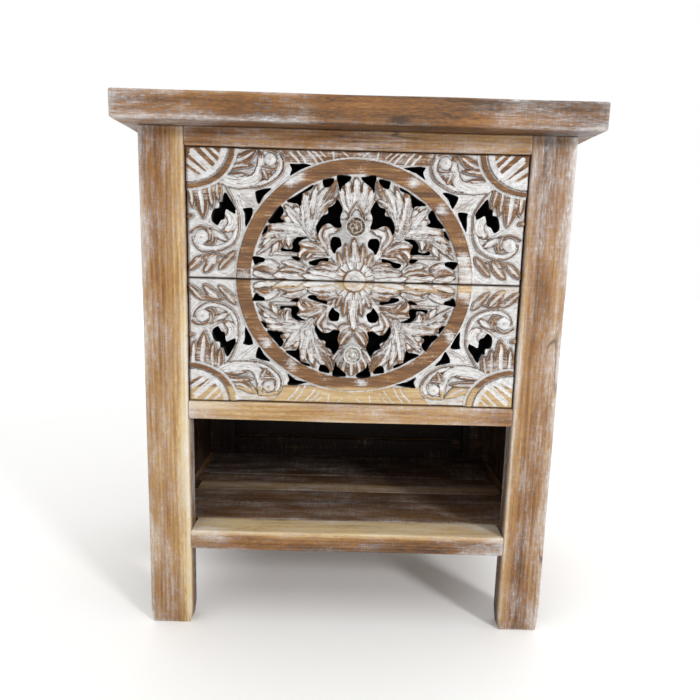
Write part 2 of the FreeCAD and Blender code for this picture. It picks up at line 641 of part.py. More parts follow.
def make_drawer(level, front_bottom, upwards):
    """A drawer box with its carved front, knob and fasteners."""
    name = f"{level}_drawer"
    bottom = f"({front_bottom} + {BOX_RISE})"
    centre = f"({front_bottom} - Sizes.front_gap / 2)"
    if not upwards:
        centre = f"({front_bottom} + Sizes.front_height + Sizes.front_gap / 2)"
    knob_level = f"({front_bottom} + Sizes.knob_height)"
    bottom_level = f"({bottom} + Sizes.bottom_raise)"
    floor_level = f"({bottom_level} + Sizes.bottom_thickness)"
    wide_hole = "(Sizes.screw_diameter + 2 * Sizes.screw_room)"

    # Screws from inside the box into the carved panel and the knob
    places = {f"{name}_knob_screw": (("0", knob_level), "Sizes.carved_thickness + Sizes.knob_screw_bite")}
    for side in SIDES:
        far = FAR_SCREW if upwards else f"-{FAR_SCREW}"
        spots = {"near": on_ring(side, RING_MIDDLE, RING_SCREW_ANGLE, upwards),
                 "far": (signed(side, "Sizes.front_screw_across"), far)}
        for which, (across, up) in spots.items():
            places[f"{name}_front_screw_{side}_{which}"] = ((across, f"({centre} + {up})"), "Sizes.screw_bite")
    screws = {}
    carved_holes = []
    inner_holes = []
    for screw, ((across, level_here), bite) in places.items():
        tip = f"({CARVED_BACK} - ({bite}))"
        shank = pin(f"{screw}_shank", (across, tip, level_here), "y", "Sizes.screw_diameter",
                    f"({INNER_FRONT_BACK} - {tip})")
        head = pin(f"{screw}_head", (across, INNER_FRONT_BACK, level_here), "y", "Sizes.screw_head",
                   "Sizes.screw_head_height")
        screws[screw] = fused(f"{screw}_solid", [shank, head])
        carved_holes.append(pin(f"{screw}_carved_hole", (across, f"({tip} - Sizes.screw_room)", level_here),
                                "y", wide_hole, f"({CARVED_BACK} - {tip} + Sizes.screw_room)"))
        inner_holes.append(pin(f"{screw}_inner_hole", (across, CARVED_BACK, level_here), "y", wide_hole,
                               "Sizes.inner_front_thickness"))
    keep(f"{name}_knob_screw", screws.pop(f"{name}_knob_screw"))
    keep(f"{name}_front_screws", group(f"{name}_front_screw_set", list(screws.values())))
    make_knob(f"{name}_knob", knob_level)
    panel = carved_panel(name, centre, upwards)
    keep(f"{name}_carved_front", cut(f"{name}_carved_bored", panel, carved_holes))

    # The bottom slides into grooves in the front and sides, under the back
    bottom_half = f"({BOX_INNER} + {TONGUE})"
    bottom_front = f"({INNER_FRONT_BACK} - {TONGUE})"
    bottom_start = (f"-{bottom_half}", bottom_front, bottom_level)
    bottom_extent = (f"2 * {bottom_half}", f"({DRAWER_BACK_REAR} - {bottom_front})", "Sizes.bottom_thickness")

    # The sides are housed in the front board, and the back in the sides
    inner = block(f"{name}_inner_board", (f"-{HALF_BOX}", CARVED_BACK, bottom),
                  (f"2 * {HALF_BOX}", "Sizes.inner_front_thickness", "Sizes.box_height"))
    side_start = f"({INNER_FRONT_BACK} - Sizes.housing_depth)"
    back_half = f"({BOX_INNER} + Sizes.housing_depth)"
    back_start = (f"-{back_half}", DRAWER_BACK_FRONT, floor_level)
    back_extent = (f"2 * {back_half}", "Sizes.drawer_back_thickness",
                   f"({bottom} + Sizes.box_height - {floor_level})")
    for side in SIDES:
        across, thickness = outward(side, BOX_INNER, HALF_BOX)
        start = (across, side_start, bottom)
        extent = (thickness, f"({BOX_REAR} - {side_start})", "Sizes.box_height")
        inner_holes.append(block(f"{name}_housing_{side}", *grown(start, extent, "Sizes.glue_gap")))
        plank = block(f"{name}_plank_{side}", start, extent)
        slots = [block(f"{name}_back_housing_{side}", *grown(back_start, back_extent, "Sizes.glue_gap")),
                 groove(f"{name}_bottom_slot_{side}", bottom_start,
                        (bottom_extent[0], f"({BOX_REAR} - {bottom_front})", bottom_extent[2]))]
        keep(f"{name}_side_{side}", cut(f"{name}_side_{side}_slotted", plank, slots))
    inner_holes.append(groove(f"{name}_front_slot", bottom_start, bottom_extent))
    keep(f"{name}_inner_front", cut(f"{name}_inner_bored", inner, inner_holes))

    # Nails up through the bottom into the back
    back = block(f"{name}_back_board", back_start, back_extent)
    floor = block(f"{name}_bottom_board", bottom_start, bottom_extent)
    nails = []
    floor_holes = []
    back_holes = []
    middle = f"({DRAWER_BACK_FRONT} + Sizes.drawer_back_thickness / 2)"
    nail_hole = "(Sizes.nail_diameter + 2 * Sizes.glue_gap)"
    for index in (-1, 0, 1):
        tag = f"{name}_nail_{index + 2}"
        across = f"({index} * Sizes.nail_spacing)"
        head = pin(f"{tag}_head", (across, middle, f"({bottom_level} - Sizes.nail_head_height)"), "z",
                   "Sizes.nail_head", "Sizes.nail_head_height")
        shank = pin(f"{tag}_shank", (across, middle, bottom_level), "z", "Sizes.nail_diameter",
                    "(Sizes.bottom_thickness + Sizes.nail_bite)")
        nails.append(fused(tag, [head, shank]))
        floor_holes.append(pin(f"{tag}_floor_hole", (across, middle, bottom_level), "z", nail_hole,
                               "Sizes.bottom_thickness"))
        back_holes.append(pin(f"{tag}_back_hole", (across, middle, floor_level), "z", nail_hole,
                              "(Sizes.nail_bite + Sizes.glue_gap)"))
    keep(f"{name}_back", cut(f"{name}_back_bored", back, back_holes))
    keep(f"{name}_bottom", cut(f"{name}_bottom_bored", floor, floor_holes))
    keep(f"{name}_bottom_nails", group(f"{name}_nail_set", nails))


make_top()
make_front_rails()
make_back()
for side in SIDES:
    make_side(side)
make_shelf()
for side in SIDES:
    make_runner("upper", side, UPPER_FRONT)
    make_runner("lower", side, LOWER_FRONT)
make_stops()
make_kickers()
make_legs()
make_drawer("upper", UPPER_FRONT, True)
make_drawer("lower", LOWER_FRONT, False)
doc.recompute()

for piece in doc.Objects:
    if "Invalid" in piece.State or "Error" in piece.State:
        raise RuntimeError(f"{piece.Name} failed: {piece.State}")
for label, piece in nodes.items():
    if piece.Shape.isNull() or not piece.Shape.isValid():
        raise RuntimeError(f"{label} has no valid shape")

os.makedirs("parts", exist_ok=True)
for label, piece in nodes.items():
    piece.Shape.exportStep(f"parts/{label}.step")
print(len(nodes), "pieces written")
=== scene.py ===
import json
import math
from functools import partial

import bmesh
import bpy
import numpy as np
from mathutils import Matrix, Vector, noise

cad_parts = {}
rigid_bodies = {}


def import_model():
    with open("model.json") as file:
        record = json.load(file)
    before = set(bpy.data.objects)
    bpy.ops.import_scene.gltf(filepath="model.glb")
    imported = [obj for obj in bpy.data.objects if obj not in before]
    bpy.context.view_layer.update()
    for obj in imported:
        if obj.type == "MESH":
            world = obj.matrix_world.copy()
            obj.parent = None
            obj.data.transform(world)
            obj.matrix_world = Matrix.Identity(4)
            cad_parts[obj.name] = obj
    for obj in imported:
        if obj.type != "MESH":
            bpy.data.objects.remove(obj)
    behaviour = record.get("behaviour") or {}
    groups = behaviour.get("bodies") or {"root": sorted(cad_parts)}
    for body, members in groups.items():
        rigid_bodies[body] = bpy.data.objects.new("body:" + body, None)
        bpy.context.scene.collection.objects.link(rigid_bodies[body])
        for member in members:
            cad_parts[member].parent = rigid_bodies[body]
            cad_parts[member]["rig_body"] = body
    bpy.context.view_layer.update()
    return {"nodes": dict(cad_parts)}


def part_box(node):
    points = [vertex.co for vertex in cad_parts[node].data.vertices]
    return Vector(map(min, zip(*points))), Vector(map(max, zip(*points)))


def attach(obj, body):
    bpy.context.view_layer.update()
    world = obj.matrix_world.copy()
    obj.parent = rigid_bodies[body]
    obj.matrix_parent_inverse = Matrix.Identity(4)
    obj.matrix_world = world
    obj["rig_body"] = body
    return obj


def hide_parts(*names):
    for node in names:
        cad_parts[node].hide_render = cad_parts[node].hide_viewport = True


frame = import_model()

bl_info = {
    "name": "Carved Nightstand",
    "version": (1, 0, 0),
    "blender": (4, 5, 0),
    "location": "View3D > Sidebar > Nightstand",
    "description": "Dresses the two-drawer nightstand with worn boards and pierced, carved drawer fronts",
    "category": "Object",
}

MM = 0.001
SIDES = {"left": 1, "right": -1}  # with the direction in which each one's inner face looks
LEVELS = ("upper", "lower")
X, Y, Z = 0, 1, 2

# Boards: waves of the unevenness along and across the grain, the height to which feet are worn, the least
# half-width that is cut lengthways and into how many strips, a place off any board for no knot, and the
# finish of hidden boards
WAVE_ALONG, WAVE_ACROSS = 9, 30
FOOT_HEIGHT = 12 * MM
LEAST_HALF, LENGTHWAYS = 10 * MM, 6
NO_KNOT = (9, 9, 9)
HIDDEN = (0.55, 0.2, 0.0)


def linear(code):
    """An sRGB hex colour as linear red, green and blue."""
    channels = [int(code[i:i + 2], 16) / 255 for i in (1, 3, 5)]
    return tuple(c / 12.92 if c <= 0.04045 else ((c + 0.055) / 1.055) ** 2.4 for c in channels)


def colour_value(name, description, code):
    """A colour that a user may change."""
    return bpy.props.FloatVectorProperty(name=name, description=description, default=linear(code),
                                         subtype="COLOR", size=3, min=0, max=1)


def length_value(name, description, millimetres):
    """A length that a user may change."""
    return bpy.props.FloatProperty(name=name, description=description, unit="LENGTH", min=0, precision=5,
                                   default=millimetres * MM)


class NightstandSizes(bpy.types.PropertyGroup):
    """Sizes of the wear and the carving."""
    arris: length_value("Worn arris", "Radius worn on the edges of the boards", 2.2)
    wobble: length_value("Unevenness", "How far hand planing leaves a board from flat", 0.5)
    foot_wear: length_value("Worn feet", "How far the posts' feet are worn in at their corners", 2.5)
    loop_spacing: length_value("Loop spacing", "Distance between the cuts along a board", 18)
    carving_step: length_value("Carving step", "Spacing of the carved surface's points", 0.75)
    relief: length_value("Relief", "Depth of the deepest carving below the face", 6)
    wall_lip: length_value("Painted lip", "Depth to which paint reaches into a piercing", 1.2)


class NightstandColours(bpy.types.PropertyGroup):
    """Colours of the wood, the paint and the stage."""
    paint: colour_value("Whitewash", "Rubbed white paint", "#dddedf")
    sapwood: colour_value("Sapwood", "Palest yellow wood", "#cfb88b")
    tan: colour_value("Tan wood", "Common tone of the posts", "#a67f4a")
    brown: colour_value("Brown wood", "Heartwood", "#825628")
    dark: colour_value("Dark grain", "Darkest streaks of the grain", "#432b16")
    bare: colour_value("Sanded wood", "Wood that sanding bares on the carving", "#744c25")
    rubbed: colour_value("Rubbed whitewash", "Paint rubbed thin over wood", "#8d8172")
    # The crease colour: grime and painted shade in the carving's hollows, on the front's arris and in the
    # knob's grooves
    crease: colour_value("Grime_and_painted_shade", "Dirt in the creases of the carving", "#4c331d")
    # The inside colour: the boards' dark stain and painted shade inside the cabinet; drying checks use it too
    stain_and_shade: colour_value("Inside stain", "Dark stain of the boards' inner faces", "#1d120c")
    # Black also paints the piercings' walls, as painted shade
    black: colour_value("Black stain", "Stain of the boards behind the piercings", "#030303")
    soot: colour_value("Black stain's grain", "Paler grain of the boards behind the piercings", "#0a0807")
    raw: colour_value("Raw softwood", "Unfinished wood of the drawer boxes", "#c9a878")
    steel: colour_value("Steel", "Zinc-plated screws and nails", "#9a9a98")
    floor: colour_value("Floor", "Pale studio floor", "#f8f8f7")


def sizes():
    """The sizes in use."""
    return bpy.context.scene.nightstand_sizes


def colours(name):
    """One of the colours in use, with full opacity."""
    return (*getattr(bpy.context.scene.nightstand_colours, name), 1)


def plug(tree, node, inputs):
    """Give a node's inputs their values, or link them to the sockets that are given."""
    for key, value in inputs.items():
        if isinstance(value, bpy.types.NodeSocket):
            tree.links.new(value, node.inputs[key])
        else:
            node.inputs[key].default_value = value


def add_node(tree, kind, *values, inputs=None, stops=(), **settings):
    """Add a shader node and return its outputs.

    Values go to its first inputs in order, inputs to the ones named; stops are a ramp's places and colours.
    """
    node = tree.nodes.new("ShaderNode" + kind)
    for key, value in settings.items():
        setattr(node, key, value)
    plug(tree, node, {**dict(enumerate(values)), **(inputs or {})})
    for index, (place, colour) in enumerate(stops):
        spot = node.color_ramp.elements[index] if index < 2 else node.color_ramp.elements.new(place)
        spot.position = place
        spot.color = colours(colour)
    return node.outputs


def new_material(name):
    """An empty material, with the functions that add a node to it and that fill its shader's inputs."""
    material = bpy.data.materials.new(name)
    material.use_nodes = True
    tree = material.node_tree
    return material, partial(add_node, tree), partial(plug, tree, tree.nodes["Principled BSDF"])


def grain_noise(add, place, along, across, detail):
    """Noise drawn out along the grain: its marks are along by across, in millimetres."""
    stretch = (1000 / along, 1000 / across, 1000 / across)
    marks = add("VectorMath", place, stretch, operation="MULTIPLY")[0]
    return add("TexNoise", inputs={"Vector": marks, "Scale": 1.0, "Detail": detail, "Roughness": 0.6})[0]


def weigh(add, start, *shares):
    """A value with shares of noises added, each noise taken about its middle."""
    for marks, share in shares:
        centred = add("Math", marks, 0.5, operation="SUBTRACT")[0]
        start = add("Math", centred, share, start, operation="MULTIPLY_ADD")[0]
    return start


def whitewashed_wood(name):
    """Limed hardwood: rubbed white paint is left in the pores, in patches and along the edges.

    Its boards carry their own grain directions, their place in the tree and their finish, so the grain runs
    along each of them and shows its rings at the ends.
    """
    material, add, coat = new_material(name)
    names = ("grain", "half", "growth", "knot")
    local, half, growth, knot = [add("Attribute", attribute_name=name)["Vector"] for name in names]
    finish = add("Attribute", attribute_name="finish")
    tone, wash, stain_and_shade = add("SeparateColor", finish["Color"])
    shift = add("CombineXYZ", *[finish["Alpha"]] * 3)[0]
    place = add("VectorMath", local, shift, operation="ADD")[0]

    # Growth rings 4 mm apart, streaks 5 mm wide, and grain lines, pores and brush marks wide enough to show
    stretched = add("VectorMath", growth, (0.06, 1, 1), operation="MULTIPLY")[0]
    wave = {"Vector": stretched, "Scale": 78.0, "Distortion": 5.0, "Detail": 2.0, "Detail Scale": 0.6}
    rings = add("TexWave", inputs=wave, wave_type="RINGS", rings_direction="X")["Fac"]
    figure = grain_noise(add, place, 260, 30, 2)
    streak = grain_noise(add, place, 90, 5, 3)
    lines = grain_noise(add, place, 70, 2.2, 2)
    pores = grain_noise(add, place, 9, 1.8, 2)
    weave = grain_noise(add, place, 2, 9, 2)
    patch = grain_noise(add, place, 60, 18, 4)
    specks = grain_noise(add, place, 6, 1.3, 2)
    total = weigh(add, tone, (figure, 0.8), (streak, 0.45), (lines, 0.3), (pores, 0.6), (rings, 0.12))
    closed = add("MapRange", specks, 0.45, 0.32, 0.0, 0.1)[0]
    total = add("Math", total, closed, operation="ADD")[0]

    # A soft dark knot, about 10 mm across and longer along the grain
    knot = add("VectorMath", knot, (0.5, 1, 1), operation="MULTIPLY")[0]
    knot = add("VectorMath", knot, operation="LENGTH")["Value"]
    knot = weigh(add, knot, (pores, 9 * MM), (streak, 9 * MM), (specks, 5 * MM))
    knot = add("MapRange", knot, 0.0, 6.5 * MM, 0.3, 0.0)[0]
    total = add("Math", total, knot, operation="ADD")[0]
    tones = ((0.1, "sapwood"), (1, "dark"), (0.42, "tan"), (0.7, "brown"))
    wood = add("ValToRGB", total, stops=tones)[0]

    # Distance to the nearest arris: the middle one of the three distances to the board's faces
    gap = add("VectorMath", local, operation="ABSOLUTE")[0]
    gap = add("VectorMath", half, gap, operation="SUBTRACT")[0]
    gx, gy, gz = add("SeparateXYZ", gap)
    low = add("Math", gx, gy, operation="MINIMUM")[0]
    high = add("Math", gx, gy, operation="MAXIMUM")[0]
    high = add("Math", high, gz, operation="MINIMUM")[0]
    edge = add("Math", low, high, operation="MAXIMUM")[0]
    edge = add("MapRange", edge, 0.0, 5 * MM, 0.14, 0.0)[0]

    white = add("Math", wash, edge, operation="ADD")[0]
    white = weigh(add, white, (patch, 1.15), (streak, -0.15), (lines, -0.2), (weave, 0.25), (pores, 0.85))
    white = add("MapRange", white, -0.05, 0.95, 0.01, 0.78, interpolation_type="SMOOTHSTEP")[0]
    limed = add("MapRange", specks, 0.56, 0.7, 1.0, 1.7)[0]
    white = add("Math", white, limed, operation="MULTIPLY", use_clamp=True)[0]
    colour = add("Mix", inputs={0: white, 6: wood, 7: colours("paint")}, data_type="RGBA")[2]

    # Inner faces take the inside stain, partly painted shade, and stay sawn: the saw's marks cross the grain
    # and are painted lighter, as painted highlights where they catch the light
    sawn = grain_noise(add, place, 2.4, 26, 2)
    sawn = weigh(add, sawn, (patch, 0.9), (streak, 0.6))
    sawn = add("MapRange", sawn, 0.45, 0.75, 1.0, 0.5)[0]
    stain_and_shade = add("Math", stain_and_shade, sawn, operation="MULTIPLY")[0]
    colour = add("Mix", inputs={0: stain_and_shade, 6: colour, 7: colours("stain_and_shade")}, data_type="RGBA")[2]

    # A few drying checks, about a millimetre wide, run along the grain
    check = grain_noise(add, place, 240, 16, 1)
    check = add("Math", check, 0.5, operation="SUBTRACT")[0]
    check = add("Math", check, operation="ABSOLUTE")[0]
    check = add("MapRange", check, 0.003, 0.012, 0.6, 0.0)[0]
    rare = add("MapRange", grain_noise(add, place, 130, 45, 1), 0.6, 0.66)[0]
    check = add("Math", check, rare, operation="MULTIPLY")[0]
    colour = add("Mix", inputs={0: check, 6: colour, 7: colours("stain_and_shade")}, data_type="RGBA")[2]
    rough = add("MapRange", white, 0.0, 0.8, 0.62, 0.82)[0]
    relief = add("Math", pores, lines, operation="ADD")[0]
    bump = add("Bump", inputs={"Height": relief, "Strength": 0.35, "Distance": 0.5 * MM})[0]
    coat({"Base Color": colour, "Roughness": rough, "Normal": bump, "IOR": 1.45})
    return material


def carved_wood(name):
    """Carved hardwood under white paint that was sanded off its high flats and arrises.

    The carving itself says where it is sanded, where its creases are darkened with grime and painted shade,
    where it is of pale sapwood and where it lies inside a piercing, whose walls are painted black as shade;
    and how far a point lies from the spine of its leaflet, which places the fine cuts of the veiner.
    """
    material, add, coat = new_material(name)
    place = add("TexCoord")["Object"]
    finish = add("Attribute", attribute_name="finish")
    sanded, crease, sap = add("SeparateColor", finish["Color"])
    flow = add("Attribute", attribute_name="flow")["Fac"]

    # Figure 9 mm wide, pores drawn wide enough to show, flecks of 2.4 mm and patches of 17 mm
    figure = grain_noise(add, place, 90, 9, 3)
    pores = grain_noise(add, place, 24, 1.8, 3)
    fleck = add("TexNoise", inputs={"Vector": place, "Scale": 420.0, "Detail": 4.0, "Roughness": 0.7})[0]
    patch = add("TexNoise", inputs={"Vector": place, "Scale": 60.0, "Detail": 4.0})[0]

    # Sanded wood: grain along the drawer, from brown heartwood to pale sapwood
    total = weigh(add, figure, (pores, 1.2), (fleck, 0.3))
    heart = add("ValToRGB", total, stops=((0.1, "tan"), (0.9, "dark"), (0.45, "bare")))[0]
    pale = add("ValToRGB", total, stops=((0.2, "sapwood"), (0.95, "tan")))[0]
    wood = add("Mix", inputs={0: sap, 6: heart, 7: pale}, data_type="RGBA")[2]

    # Veins along the leaflets and marks of the gouge along the outlines, which flow tells by its sign, are
    # light cuts through sanded wood and brown lines through paint
    wave = weigh(add, flow, (patch, 0.5), (fleck, 0.25))
    wave = add("Math", wave, 2 * math.pi, operation="MULTIPLY")[0]
    wave = add("Math", wave, operation="COSINE")[0]
    vein = add("MapRange", wave, 0.45, 0.95, interpolation_type="SMOOTHSTEP")[0]
    known = add("Math", flow, 0.0, 0.001, operation="COMPARE")[0]
    vein = add("Math", vein, known, operation="SUBTRACT", use_clamp=True)[0]
    opposite = add("MapRange", sanded, 0.0, 1.0, 0.5, 0.1)[0]
    bare = add("Mix", inputs={0: vein, 2: sanded, 3: opposite}, data_type="FLOAT")[0]

    # Paint is rubbed through in flecks, and what is sanded keeps a haze of it. The chisel's marks are 9 mm
    # long, and rubbed spots 6 mm across
    bare = weigh(add, bare, (fleck, 1.2), (patch, 1.2), (pores, 1.0))
    bare = add("MapRange", bare, 0.22, 0.96, 0.03, 0.97, interpolation_type="SMOOTHSTEP")[0]
    chisel = grain_noise(add, place, 9, 2.2, 3)
    rub = add("TexNoise", inputs={"Vector": place, "Scale": 170.0, "Detail": 3.0})[0]
    paint = weigh(add, fleck, (chisel, 0.9), (rub, 1.0))
    paint = add("MapRange", paint, 0.2, 0.75, 0.5, 0.0)[0]
    paint = add("Mix", inputs={0: paint, 6: colours("paint"), 7: colours("rubbed")}, data_type="RGBA")[2]
    colour = add("Mix", inputs={0: bare, 6: paint, 7: wood}, data_type="RGBA")[2]
    # The crease colour darkens creases and hollows: painted shade, with some grime
    crease_grime_and_shade = add("Math", crease, 0.65, operation="MULTIPLY")[0]
    colour = add("Mix", inputs={0: crease_grime_and_shade, 6: colour, 7: colours("crease")}, data_type="RGBA")[2]
    # The piercings' walls are painted black: painted shade
    colour = add("Mix", inputs={0: finish["Alpha"], 6: colour, 7: colours("black")}, data_type="RGBA")[2]
    relief = weigh(add, fleck, (chisel, 0.8))
    relief = add("Math", vein, -0.6, relief, operation="MULTIPLY_ADD")[0]
    bump = add("Bump", inputs={"Height": relief, "Strength": 0.5, "Distance": 0.6 * MM})[0]
    coat({"Base Color": colour, "Roughness": 0.78, "Normal": bump, "IOR": 1.45})
    return material


def turned_wood(name):
    """A lathe-turned knob: white paint is left on its rim and bead, and its grooves and neck take the crease
    colour, grime and painted shade.
    """
    material, add, coat = new_material(name)
    place = add("TexCoord")["Object"]
    finish = add("Attribute", attribute_name="finish")["Fac"]
    # Flecks of 2.4 mm, as on the carving
    fleck = add("TexNoise", inputs={"Vector": place, "Scale": 420.0, "Detail": 4.0})[0]
    mix = add("Math", fleck, finish, operation="ADD")[0]
    mix = add("MapRange", mix, 0.45, 1.05, interpolation_type="SMOOTHSTEP")[0]
    # Low paint gives the crease colour: painted shade in the grooves and neck, with some grime
    colour = add("ValToRGB", mix, stops=((0, "crease"), (1, "paint"), (0.12, "rubbed")))[0]
    bump = add("Bump", inputs={"Height": fleck, "Strength": 0.2, "Distance": 0.3 * MM})[0]
    coat({"Base Color": colour, "Roughness": 0.6, "Normal": bump})
    return material


def plain_wood(name, axis, pale, deep, roughness):
    """Wood without paint, with streaks 9 mm wide and open pores along one axis of the room."""
    material, add, coat = new_material(name)
    place = add("TexCoord")["Object"]
    turn = (0, 0, math.radians(90) if axis == Y else 0)
    turned = add("Mapping", inputs={"Vector": place, "Rotation": turn})[0]
    streak = grain_noise(add, turned, 160, 9, 3)
    pores = grain_noise(add, turned, 30, 1.2, 2)
    total = add("Math", streak, pores, operation="MULTIPLY")[0]
    colour = add("ValToRGB", total, stops=((0.1, pale), (0.5, deep)))[0]
    bump = add("Bump", inputs={"Height": pores, "Strength": 0.25, "Distance": 0.4 * MM})[0]
    shine = 0.5 if roughness < 0.9 else 0.05
    coat({"Base Color": colour, "Roughness": roughness, "Normal": bump, "Specular IOR Level": shine})
    return material


def plated_steel(name):
    """Zinc-plated steel: a dull metal with faint spangle of about a millimetre."""
    material, add, coat = new_material(name)
    place = add("TexCoord")["Object"]
    spangle = add("TexNoise", inputs={"Vector": place, "Scale": 900.0, "Detail": 2.0})[0]
    rough = add("MapRange", inputs={0: spangle, 3: 0.3, 4: 0.5})[0]
    coat({"Base Color": colours("steel"), "Roughness": rough, "Metallic": 1.0})
    return material


# The finishes of bare wood: name, maker, grain's axis, colours and roughness
RAW_ACROSS = ("Raw softwood across", plain_wood, X, "raw", "brown", 0.7)
RAW_ALONG = ("Raw softwood along", plain_wood, Y, "raw", "brown", 0.7)
BLACK_STAINED = ("Black-stained board", plain_wood, X, "black", "soot", 0.95)


def finish_named(name, make, *values):
    """A material by its name, made when it is first asked for."""
    return bpy.data.materials.get(name) or make(name, *values)


def add_piece(name, mesh, material, nodes, sharp=40):
    """Put a finished mesh in the scene in the place of its CAD nodes, on their body."""
    mesh.materials.append(material)
    mesh.shade_smooth()
    mesh.set_sharp_from_angle(angle=math.radians(sharp))
    piece = bpy.data.objects.new(name, mesh)
    bpy.context.scene.collection.objects.link(piece)
    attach(piece, frame["nodes"][nodes[0]]["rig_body"])
    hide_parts(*nodes)


def to_mesh(bm, name):
    """The mesh of a finished piece."""
    mesh = bpy.data.meshes.new(name)
    bm.to_mesh(mesh)
    bm.free()
    return mesh


def set_attribute(mesh, name, kind, values):
    """Store vectors or colours on a mesh's points for its material."""
    key = "color" if kind == "FLOAT_COLOR" else "vector"
    mesh.attributes.new(name, kind, "POINT").data.foreach_set(key, np.asarray(values, np.float32).ravel())


def cut_across(bm, axis, place):
    """Cut a loop round a board."""
    normal = Vector((0, 0, 0))
    normal[axis] = 1
    everything = bm.verts[:] + bm.edges[:] + bm.faces[:]
    bmesh.ops.bisect_plane(bm, geom=everything, plane_co=normal * place, plane_no=normal)


def spotted(finish, spots, share):
    """The finish of points whose places run from -1 to 1 on each axis of a board.

    A spot is the place and reach on the axes that limit it, and its change of tone, paint and inside stain,
    which is partly painted shade.
    """
    values = np.tile(np.array(finish, float), (len(share), 1))
    for limits, change in spots:
        weight = np.ones(len(share))
        for axis, (place, reach) in limits.items():
            weight *= rise(reach, 0, np.abs(share[:, axis] - place))
        values += weight[:, None] * np.array(change)
    return values


def make_board(node, along, finish, span=None, spots=(), foot=False, knot=NO_KNOT):
    """A worn board in the place of a CAD node.

    along is the axis of its grain, finish its tone, paint and inside stain, which is partly painted shade,
    spots the places where those differ, span the part that shows along an axis, and knot a knot's place, from
    -1 to 1 on each axis.
    """
    low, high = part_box(node)
    for axis, (start, end) in (span or {}).items():
        low[axis], high[axis] = start, end
    centre, half = (low + high) / 2, (high - low) / 2
    seed = sum(ord(letter) * (i + 1) for i, letter in enumerate(node)) % 97
    order = [along, (along + 1) % 3, (along + 2) % 3]
    noise.seed_set(seed + 1)
    bm = bmesh.new()
    bmesh.ops.create_cube(bm, size=2)
    bmesh.ops.scale(bm, vec=half, verts=bm.verts)
    bmesh.ops.translate(bm, vec=centre, verts=bm.verts)
    bmesh.ops.bevel(bm, geom=bm.edges[:], offset=sizes().arris, affect="EDGES", segments=3, profile=0.5,
                    material=-1)
    for axis in order:
        count = LENGTHWAYS if half[axis] > LEAST_HALF else 1
        if axis == along:
            count = max(2, round(2 * half[axis] / sizes().loop_spacing))
        for k in range(1, count):
            cut_across(bm, axis, low[axis] + 2 * half[axis] * k / count)
    for vert in bm.verts:
        spot = vert.co - centre
        spot = Vector([spot[axis] * (WAVE_ALONG if axis == along else WAVE_ACROSS) + seed for axis in order])
        push = noise.noise_vector(spot) * sizes().wobble
        push[along] = min(push[along], 0) if vert.co[along] > centre[along] else max(push[along], 0)
        if foot:
            worn = max(0, 1 - (vert.co.z - low.z) / FOOT_HEIGHT) ** 2 * sizes().foot_wear
            for axis in (X, Y):
                share = (vert.co[axis] - centre[axis]) / half[axis]
                push[axis] -= math.copysign(worn * share ** 4, share)
        vert.co += push
    mesh = to_mesh(bm, node + "_worn")
    co = np.zeros(len(mesh.vertices) * 3, np.float32)
    mesh.vertices.foreach_get("co", co)
    local = co.reshape(-1, 3) - np.array(centre)
    values = spotted(finish, spots, local / np.array(half))
    pith = np.array((seed * 0.11, 0.06 * math.sin(seed), 0.05 + 0.04 * math.cos(seed)))
    vectors = {"grain": local[:, order], "knot": (local - np.array(half) * knot)[:, order],
               "half": np.tile(np.array(half)[order], (len(local), 1)), "growth": local[:, order] + pith}
    for name, places in vectors.items():
        set_attribute(mesh, name, "FLOAT_VECTOR", places)
    set_attribute(mesh, "finish", "FLOAT_COLOR", np.column_stack([values, np.full(len(local), seed * 0.37)]))
    material = finish_named("Whitewashed hardwood", whitewashed_wood)
    add_piece(node + "_worn", mesh, material, [node])


# Carving, in millimetres: across from the centre line, and up or down from the split between the drawers
RING = (111.5, 114.0, 128.5, 131.0)  # radii of its inner border, its flat and its outer border
CORNER = (182.0, 137.3)  # centre of a corner's rounds
CORNER_BAND = (44.5, 46.5, 51.5, 55.0)  # radii across, as for the ring
CORNER_SQUASH = 0.82  # height of the corner's rounds to their width
LOWER_SQUASH = 0.945  # height of the lower drawer's ornament to the upper one's
KNOB_RISE = {"upper": 58.6, "lower": 79.3}
KNOB_SEAT, KNOB_GROOVE = 10, 12  # radii of the knob's flat seat and of the groove round it
GROUND = 2.4  # height of the ground over the deepest carving
CREASE = 1.0  # depth of the crease cut round a form
ROSETTE, ROSETTE_EDGE, ROSETTE_RAYS = 14.0, 11.0, 22.0  # radii of its disc, the disc's sanded edge and rays
RAY_COUNT = 20
DOTS, DOT_RADIUS = (30, 60, 90), 5  # angles of the rosette's dots, and their distance from its centre
VEIN_SPACING = 3.4
VEINED = 0.58  # a leaflet that is hollowed over more than this share is veined and lobed
LOBE = 7.0  # length of a lobe
GOUGE_SPACING = 3.4
GOUGED = 10.0  # how far the gouge's marks reach from a form
DRIFT_ACROSS, DRIFT_UP, DRIFT_WAVE = 0.6, 0.5, 70  # how far lines drift, and over which length
FEATHER_START, FEATHER_END, FEATHER_CURVE = 124.0, 77.0, 0.03  # a feathered band's foot, end and end's curve
FEATHER_SHIFT = 2  # how far the feathers are off the centre

# Pale sapwood of the lower drawer: past this distance from the split, and within this one, fading leftwards
SAP_FOOT, SAP_SPLIT, SAP_FADE = 118, 9, (-130, -60)

# How far wood is sanded: clear of all paint, on a feathered band, on the ground, and less where paint is kept
CLEAN, FEATHERED, RUBBED, PATCHED = 1.1, 0.8, 0.15, 0.6

